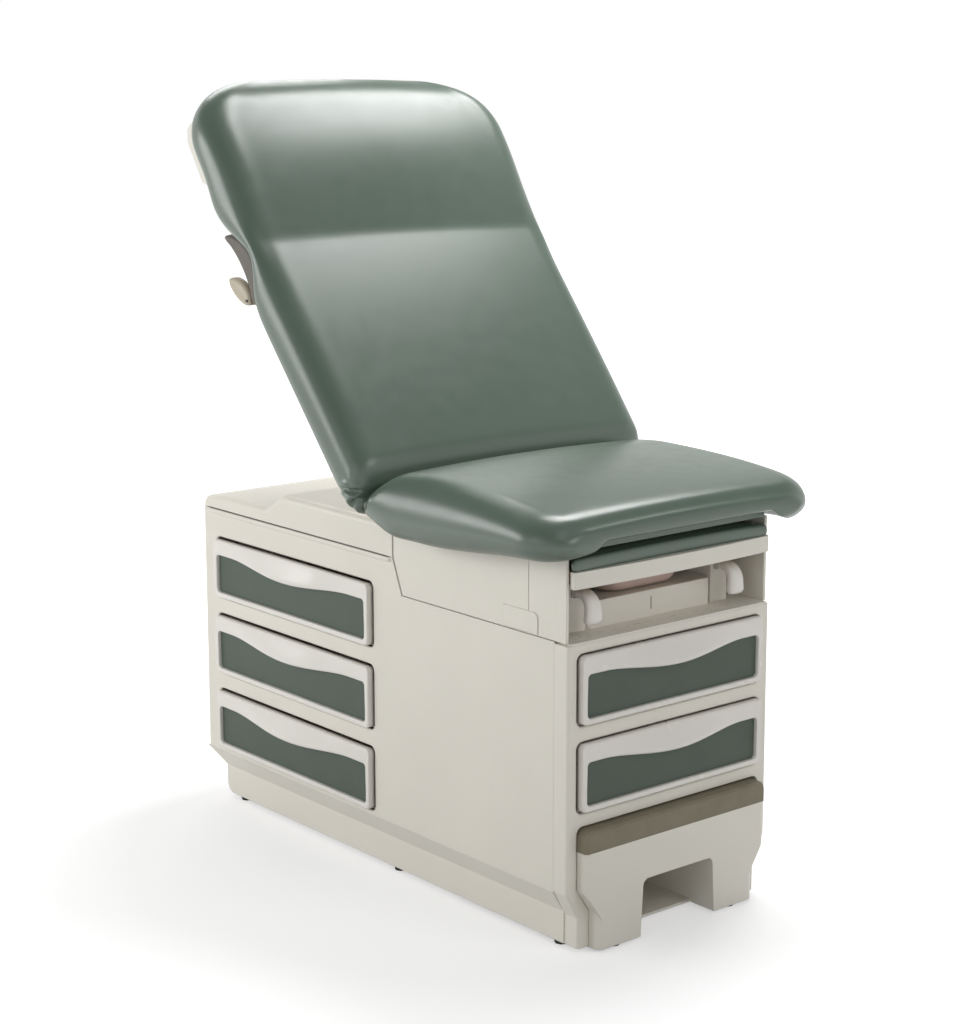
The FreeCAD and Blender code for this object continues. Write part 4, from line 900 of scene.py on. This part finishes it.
def build_pan():
    """Shallow moulded pan: outside wall, rolled rim, inside wall and floor."""
    low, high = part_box("treatment_pan")
    # Inset from the rim's edge, height and corner radius
    rings = (
        (0.040, 0.0000, 0.030), (0.029, 0.0012, 0.034), (0.022, 0.0050, 0.034), (0.019, 0.0110, 0.034),
        (0.0135, 0.0270, 0.034), (0.0120, 0.0318, 0.034), (0.0030, 0.0322, 0.034), (0.0005, 0.0326, 0.034),
        (0.0000, 0.0336, 0.034), (0.0010, 0.0347, 0.034), (0.0040, 0.0350, 0.034), (0.0115, 0.0348, 0.034),
        (0.0150, 0.0325, 0.033), (0.0220, 0.0120, 0.031), (0.0270, 0.0055, 0.030), (0.0400, 0.0030, 0.026),
    )
    rows = []
    for inset, up, corner in rings:
        path = rounded_path(low.x + inset, high.x - inset, low.y + inset, high.y - inset, corner, (14, 20, 8))
        rows.append([Vector((x, y, low.z + up)) for x, y in path])
    points, faces = ringed_mesh(rows)
    pan = new_piece("treatment_pan_moulding", points, faces, "pan_plastic", "pan")
    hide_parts("treatment_pan")


def build_panel_edges():
    """Rolled upper edge of each side panel, and above it a thin dark strip of painted shade that stands for
    the shadow in the gap under the rear cover.
    """
    low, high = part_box("top_cover")
    start, end = low.y + 0.003, high.y - 0.018
    steps = 40
    for side, sign in SIDES:
        for kind, z, tall, proud, finish in (
            ("edge", PARTING - 0.0062, 0.0050, 0.0020, "body_paint"),
            # The thin dark strip is painted shade: it stands for the shadow in the gap between the rear cover
            # and the panel's rolled edge.
            ("painted_shade_strip", PARTING + 0.0002, 0.0016, 0.0006, "dark_plastic"),
        ):
            stations = []
            for i in range(steps + 1):
                place = Vector((mixed(start, end, i / steps), z))
                keep = end_round(i, steps, blunt=1.2)
                stations.append((place, Vector((0, 1)), tall * keep, proud * keep))
            points, faces = ringed_mesh(swept_rings(stations, sign * BASE_HALF, power=2.2, count=16))
            new_piece(f"side_panel_{side}_{kind}", points, faces, finish, "base")


def screw_mesh(place, out):
    """Domed screw head with a six-sided socket, standing on a place and facing out."""
    placing = Matrix.Translation(place) @ out.to_track_quat("Z", "X").to_matrix().to_4x4()
    turns = [math.tau * i / 24 for i in range(24)]
    dome = ((0.0055, 0.0), (0.0055, 0.0006), (0.0050, 0.0016), (0.0040, 0.0023), (0.0027, 0.0026))
    rows = [[(radius, turn, up) for turn in turns] for radius, up in dome]
    for up in (0.0026, 0.0010):
        rows.append([(socket_radius(turn), turn, up) for turn in turns])
    return ringed_mesh([
        [placing @ Vector((radius * math.cos(turn), radius * math.sin(turn), up)) for radius, turn, up in row]
        for row in rows
    ])


def socket_radius(turn):
    """Distance from the middle of a six-sided socket to its wall, in a direction."""
    to_corner, sixth = 0.0020, math.pi / 3
    return to_corner * math.cos(sixth / 2) / math.cos(turn % sixth - sixth / 2)


def build_screws(sizes):
    """Screws that hold the back's cover and the rear panel."""
    raised = back_frame(sizes)
    behind = raised.to_3x3() @ Vector((0, 0, -1))
    from_middle, cover_face = 0.285, -0.007
    heads = []
    for along in (0.20, 0.38, 0.56):
        for x in (-from_middle, from_middle):
            heads.append(screw_mesh(raised @ Vector((x, along, cover_face)), behind))
    add_screws("back_cover_screws", heads, "backrest")
    low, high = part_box("rear_panel")
    from_edge = 0.022
    heads = []
    for up in (0.10, 0.50, 0.90):
        for x in (low.x + from_edge, high.x - from_edge):
            place = Vector((x, high.y, mixed(low.z, high.z, up)))
            heads.append(screw_mesh(place, Vector((0, 1, 0))))
    add_screws("rear_panel_screws", heads, "base")


def add_screws(name, heads, body):
    points, faces = joined(heads)
    piece = new_piece(name, points, faces, "steel", body)
    piece.data.set_sharp_from_angle(angle=math.radians(40))


# Moulded drawer fronts

def rounded_path(low_x, high_x, low_z, high_z, radius, counts):
    """Points round a rectangle with rounded corners, from the lower left one, anticlockwise.

    The counts are the points along a level side, along an upright side and round a corner.
    """
    along_x, along_z, corner = counts
    centres = (
        (low_x + radius, low_z + radius, math.pi),
        (high_x - radius, low_z + radius, 1.5 * math.pi),
        (high_x - radius, high_z - radius, 0.0),
        (low_x + radius, high_z - radius, 0.5 * math.pi),
    )
    points = []
    for side, (x, z, start) in enumerate(centres):
        for i in range(corner):
            turn = start + math.pi / 2 * i / corner
            points.append((x + radius * math.cos(turn), z + radius * math.sin(turn)))
        straight = along_x if side % 2 == 0 else along_z
        end = start + math.pi / 2
        first = Vector((x + radius * math.cos(end), z + radius * math.sin(end)))
        next_x, next_z, next_start = centres[(side + 1) % 4]
        last = Vector((next_x + radius * math.cos(next_start), next_z + radius * math.sin(next_start)))
        for i in range(straight):
            points.append(tuple(first.lerp(last, i / straight)))
    return points


def pull_wave(x, length):
    """Share of the pull's full size at a place along the front: nothing near the ends."""
    reach = 0.37 * length
    if abs(x) >= reach:
        return 0.0
    return math.cos(math.pi / 2 * x / reach) ** 1.6


def front_profile(inner, outer, wave, sizes):
    """Closed profile across the rim, from the window's floor over the face to the back."""
    face = -sizes.proud
    floor, back = -0.0015, 0.004
    edge = 0.0035
    nose = sizes.lip * wave
    points = [(0.0, floor), (0.0, (floor + face) / 2)]
    reach = math.dist(inner, outer)
    inner_round = min(0.0030 + 0.004 * wave, reach * 0.3)
    for i in range(5):
        turn = math.pi / 2 * i / 4
        points.append((
            inner_round * (1 - math.cos(turn)),
            face - nose + inner_round * (1 - math.sin(turn)),
        ))
    for i in range(1, 8):
        t = i / 8
        across = inner_round + (reach - edge - inner_round) * t
        swell = nose * (1 - t) ** 1.25 + 0.45 * nose * t * (1 - t) ** 1.2
        points.append((across, face - swell))
    for i in range(5):
        turn = math.pi / 2 * i / 4
        points.append((reach - edge + edge * math.sin(turn), face + edge * (1 - math.cos(turn))))
    points += [(reach, (face + back) / 2), (reach, back), (0.0, back)]
    return points


def front_rows(length, headroom, sizes):
    """Profiles round the rim, in the front's own frame: x along it, z up, face towards -y."""
    counts = (48, 12, 7)
    rim_corner, window_corner = 0.011, 0.009
    half = length / 2 - sizes.gap
    outer = rounded_path(-half, half, sizes.gap, sizes.height - headroom, rim_corner, counts)
    window = half - sizes.border
    inner = rounded_path(-window, window, sizes.window_low, sizes.window_high, window_corner, counts)
    rows = []
    for inside, outside in zip(inner, outer):
        on_top = inside[1] > sizes.window_high - 1e-6
        wave = pull_wave(inside[0], length) if on_top else 0.0
        start = Vector((inside[0], inside[1] - sizes.dip * wave))
        end = Vector(outside)
        way = (end - start).normalized()
        row = []
        for across, y in front_profile(start, end, wave, sizes):
            spot = start + way * across
            row.append(Vector((spot.x, y, spot.y)))
        rows.append(row)
    return rows


def build_front(name, body, node, length, headroom, sizes, placing):
    """One moulded front: a closed chain of rim profiles, placed in its recess."""
    rows = front_rows(length, headroom, sizes)
    count = len(rows[0])
    points = [placing @ p for row in rows for p in row]
    faces = ring_faces(len(rows) + 1, count)
    faces = [tuple(i % len(points) for i in face) for face in faces]
    piece = new_piece(name, points, faces, "drawer_front", body)
    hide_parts(node)


def build_drawer_fronts(sizes):
    for body in SIDE_DRAWERS:
        node = f"{body}_fronts"
        low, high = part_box(node)
        middle = (low.y + high.y) / 2
        for side, sign in SIDES:
            turn = Matrix.Rotation(math.radians(90 * sign), 4, "Z")
            placing = Matrix.Translation((sign * BASE_HALF, middle, low.z - sizes.gap)) @ turn
            build_front(f"{body}_front_{side}", body, node, sizes.side_length, sizes.gap, sizes, placing)
    headroom = 0.45 * sizes.gap
    for body in FRONT_DRAWERS:
        node = f"{body}_front"
        placing = Matrix.Translation((0, BASE_FRONT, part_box(node)[0].z - sizes.gap))
        build_front(f"{body}_moulding", body, node, sizes.front_length, headroom, sizes, placing)


# Stage

def seen_directly(nodes, links):
    """1 for what the camera, a reflection or a clear piece looks at, 0 for other light."""
    path = nodes.new("ShaderNodeLightPath")
    seen = path.outputs["Is Camera Ray"]
    for kind in ("Is Glossy Ray", "Is Transmission Ray"):
        either = nodes.new("ShaderNodeMath")
        either.operation = "MAXIMUM"
        links.new(seen, either.inputs[0])
        links.new(path.outputs[kind], either.inputs[1])
        seen = either.outputs[0]
    return seen


def floor_finish(colours):
    """Pale floor that runs out into white away from the table and keeps its shadow near it."""
    finish = Finish("studio_floor", colours.floor, 0.8)
    distance = finish.nodes.new("ShaderNodeVectorMath")
    distance.operation = "LENGTH"
    finish.links.new(finish.place, distance.inputs[0])
    shadow_reach, near_glow, far_glow = (0.7, 2.2), 0.48, 1.0
    fade = range_node(finish.nodes, shadow_reach, (near_glow, far_glow))
    finish.links.new(distance.outputs["Value"], fade.inputs["Value"])
    glow = finish.nodes.new("ShaderNodeMath")
    glow.operation = "MULTIPLY"
    finish.links.new(seen_directly(finish.nodes, finish.links), glow.inputs[0])
    finish.links.new(fade.outputs["Result"], glow.inputs[1])
    finish.set("Emission Color", (1, 1, 1, 1))
    finish.links.new(glow.outputs[0], finish.shader.inputs["Emission Strength"])
    return finish.material


def build_floor(colours):
    size = 14
    mesh = bpy.data.meshes.new("floor")
    corners = [(-size, -size, 0), (size, -size, 0), (size, size, 0), (-size, size, 0)]
    mesh.from_pydata(corners, [], [(0, 1, 2, 3)])
    mesh.materials.append(floor_finish(colours))
    floor = bpy.data.objects.new("floor", mesh)
    bpy.context.scene.collection.objects.link(floor)


def build_world(settings):
    """White surroundings under a dimmer ceiling, the same for the camera and for reflections."""
    world = bpy.data.worlds.new("studio")
    bpy.context.scene.world = world
    world.use_nodes = True
    nodes, links = world.node_tree.nodes, world.node_tree.links
    background = nodes["Background"]
    background.inputs["Color"].default_value = (1, 1, 1, 1)
    direction = nodes.new("ShaderNodeTexCoord")
    height = nodes.new("ShaderNodeSeparateXYZ")
    links.new(direction.outputs["Generated"], height.inputs["Vector"])
    wall_top, ceiling_start = 0.20, 0.62
    level = range_node(nodes, (wall_top, ceiling_start), (1.0, settings.ceiling))
    level.interpolation_type = "SMOOTHSTEP"
    links.new(height.outputs["Z"], level.inputs["Value"])
    links.new(level.outputs["Result"], background.inputs["Strength"])


def add_lamp(name, place, target, size, power):
    data = bpy.data.lights.new(name, "AREA")
    data.shape = "RECTANGLE"
    data.size, data.size_y = size
    data.energy = power
    lamp = bpy.data.objects.new(name, data)
    lamp.location = place
    aim = Vector(target) - Vector(place)
    lamp.rotation_euler = aim.to_track_quat("-Z", "Y").to_euler()
    lamp.visible_camera = False
    bpy.context.scene.collection.objects.link(lamp)


def add_camera(settings):
    """Camera at the height and angle of a person who looks at the table's front corner."""
    azimuth, elevation = math.radians(-40.0), math.radians(10.3)
    place = Vector((-2.7119, -3.3258, 1.5707))
    back = Vector((
        math.sin(azimuth) * math.cos(elevation),
        -math.cos(azimuth) * math.cos(elevation),
        math.sin(elevation),
    ))
    right = Vector((math.cos(azimuth), math.sin(azimuth), 0))
    up = back.cross(right)
    data = bpy.data.cameras.new("camera")
    data.lens = settings.focal_length
    data.sensor_width = 36
    data.shift_x = -0.016
    data.shift_y = -0.044
    camera = bpy.data.objects.new("camera", data)
    axes = Matrix((right, up, back)).transposed()
    camera.matrix_world = Matrix.Translation(place) @ axes.to_4x4()
    bpy.context.scene.collection.objects.link(camera)
    bpy.context.scene.camera = camera


# Operators

class TABLE_OT_finishes(bpy.types.Operator):
    """Make the finishes and give every solid its own"""

    bl_idname = "table.finishes"
    bl_label = "Finishes"

    def execute(self, context):
        finishes.update(make_finishes(context.scene.table_colours))
        for subpart in frame["record"]["subparts"]:
            node = frame["nodes"][subpart["node"]]
            wrapped = subpart["node"] == "seat_deck"
            finish = finishes["green_vinyl" if wrapped else subpart["material_slot"]]
            if not node.material_slots:
                node.data.materials.append(finish)
            for slot in node.material_slots:
                slot.material = finish
        return {"FINISHED"}


class TABLE_OT_cover(bpy.types.Operator):
    """Build the one-piece cover of the seat and back"""

    bl_idname = "table.cover"
    bl_label = "Seat and back cover"

    def execute(self, context):
        build_cover(context.scene.table_upholstery)
        return {"FINISHED"}


class TABLE_OT_footrest_cushion(bpy.types.Operator):
    """Build the cushion of the pull-out footrest"""

    bl_idname = "table.footrest_cushion"
    bl_label = "Footrest cushion"

    def execute(self, context):
        build_footrest_cushion()
        return {"FINISHED"}


class TABLE_OT_drawer_fronts(bpy.types.Operator):
    """Build the moulded fronts of all drawers"""

    bl_idname = "table.drawer_fronts"
    bl_label = "Drawer fronts"

    def execute(self, context):
        build_drawer_fronts(context.scene.table_drawers)
        return {"FINISHED"}


class TABLE_OT_release_handles(bpy.types.Operator):
    """Build the grips and levers that free the back"""

    bl_idname = "table.release_handles"
    bl_label = "Release handles"

    def execute(self, context):
        build_release_handles(context.scene.table_upholstery)
        return {"FINISHED"}


class TABLE_OT_stirrup_hooks(bpy.types.Operator):
    """Build the moulded hooks of the stirrups"""

    bl_idname = "table.stirrup_hooks"
    bl_label = "Stirrup hooks"

    def execute(self, context):
        build_stirrup_hooks()
        return {"FINISHED"}


class TABLE_OT_pan(bpy.types.Operator):
    """Build the moulded treatment pan"""

    bl_idname = "table.pan"
    bl_label = "Treatment pan"

    def execute(self, context):
        build_pan()
        return {"FINISHED"}


class TABLE_OT_panel_edges(bpy.types.Operator):
    """Build the rolled edges of the side panels and the thin dark strips of painted shade above them"""

    bl_idname = "table.panel_edges"
    bl_label = "Panel edges"

    def execute(self, context):
        build_panel_edges()
        return {"FINISHED"}


class TABLE_OT_screws(bpy.types.Operator):
    """Build the screws of the back's cover and the rear panel"""

    bl_idname = "table.screws"
    bl_label = "Screws"

    def execute(self, context):
        build_screws(context.scene.table_upholstery)
        return {"FINISHED"}


class TABLE_OT_stage(bpy.types.Operator):
    """Set up the floor, the light and the camera"""

    bl_idname = "table.stage"
    bl_label = "Stage"

    def execute(self, context):
        settings = context.scene.table_studio
        build_floor(context.scene.table_colours)
        build_world(settings)
        for name, place, target, size, share in LAMPS:
            add_lamp(name, place, target, size, share * settings.lamp_power)
        add_camera(settings)
        context.scene.view_settings.view_transform = "Standard"
        return {"FINISHED"}


class TABLE_PT_dressing(bpy.types.Panel):
    """Sidebar panel with the table's pieces and settings"""

    bl_label = "Examination Table"
    bl_idname = "TABLE_PT_dressing"
    bl_space_type = "VIEW_3D"
    bl_region_type = "UI"
    bl_category = "Table"

    def draw(self, context):
        for operator in OPERATORS:
            self.layout.operator(operator.bl_idname)
        for name in SETTINGS:
            group = getattr(context.scene, name)
            column = self.layout.column()
            for prop in group.bl_rna.properties:
                if not prop.is_readonly and prop.identifier != "name":
                    column.prop(group, prop.identifier)


SETTINGS = {
    "table_colours": TableColours,
    "table_upholstery": UpholsterySizes,
    "table_drawers": DrawerSizes,
    "table_studio": StudioSettings,
}
OPERATORS = (
    TABLE_OT_finishes,
    TABLE_OT_cover,
    TABLE_OT_footrest_cushion,
    TABLE_OT_drawer_fronts,
    TABLE_OT_release_handles,
    TABLE_OT_stirrup_hooks,
    TABLE_OT_pan,
    TABLE_OT_panel_edges,
    TABLE_OT_screws,
    TABLE_OT_stage,
)
CLASSES = (*SETTINGS.values(), *OPERATORS, TABLE_PT_dressing)


def register():
    for cls in CLASSES:
        bpy.utils.register_class(cls)
    for name, group in SETTINGS.items():
        setattr(bpy.types.Scene, name, PointerProperty(type=group))


def unregister():
    for name in SETTINGS:
        delattr(bpy.types.Scene, name)
    for cls in reversed(CLASSES):
        bpy.utils.unregister_class(cls)


def main():
    register()
    bpy.ops.table.finishes()
    bpy.ops.table.cover()
    bpy.ops.table.footrest_cushion()
    bpy.ops.table.drawer_fronts()
    bpy.ops.table.release_handles()
    bpy.ops.table.stirrup_hooks()
    bpy.ops.table.pan()
    bpy.ops.table.panel_edges()
    bpy.ops.table.screws()
    bpy.ops.table.stage()


if __name__ == "__main__":
    main()
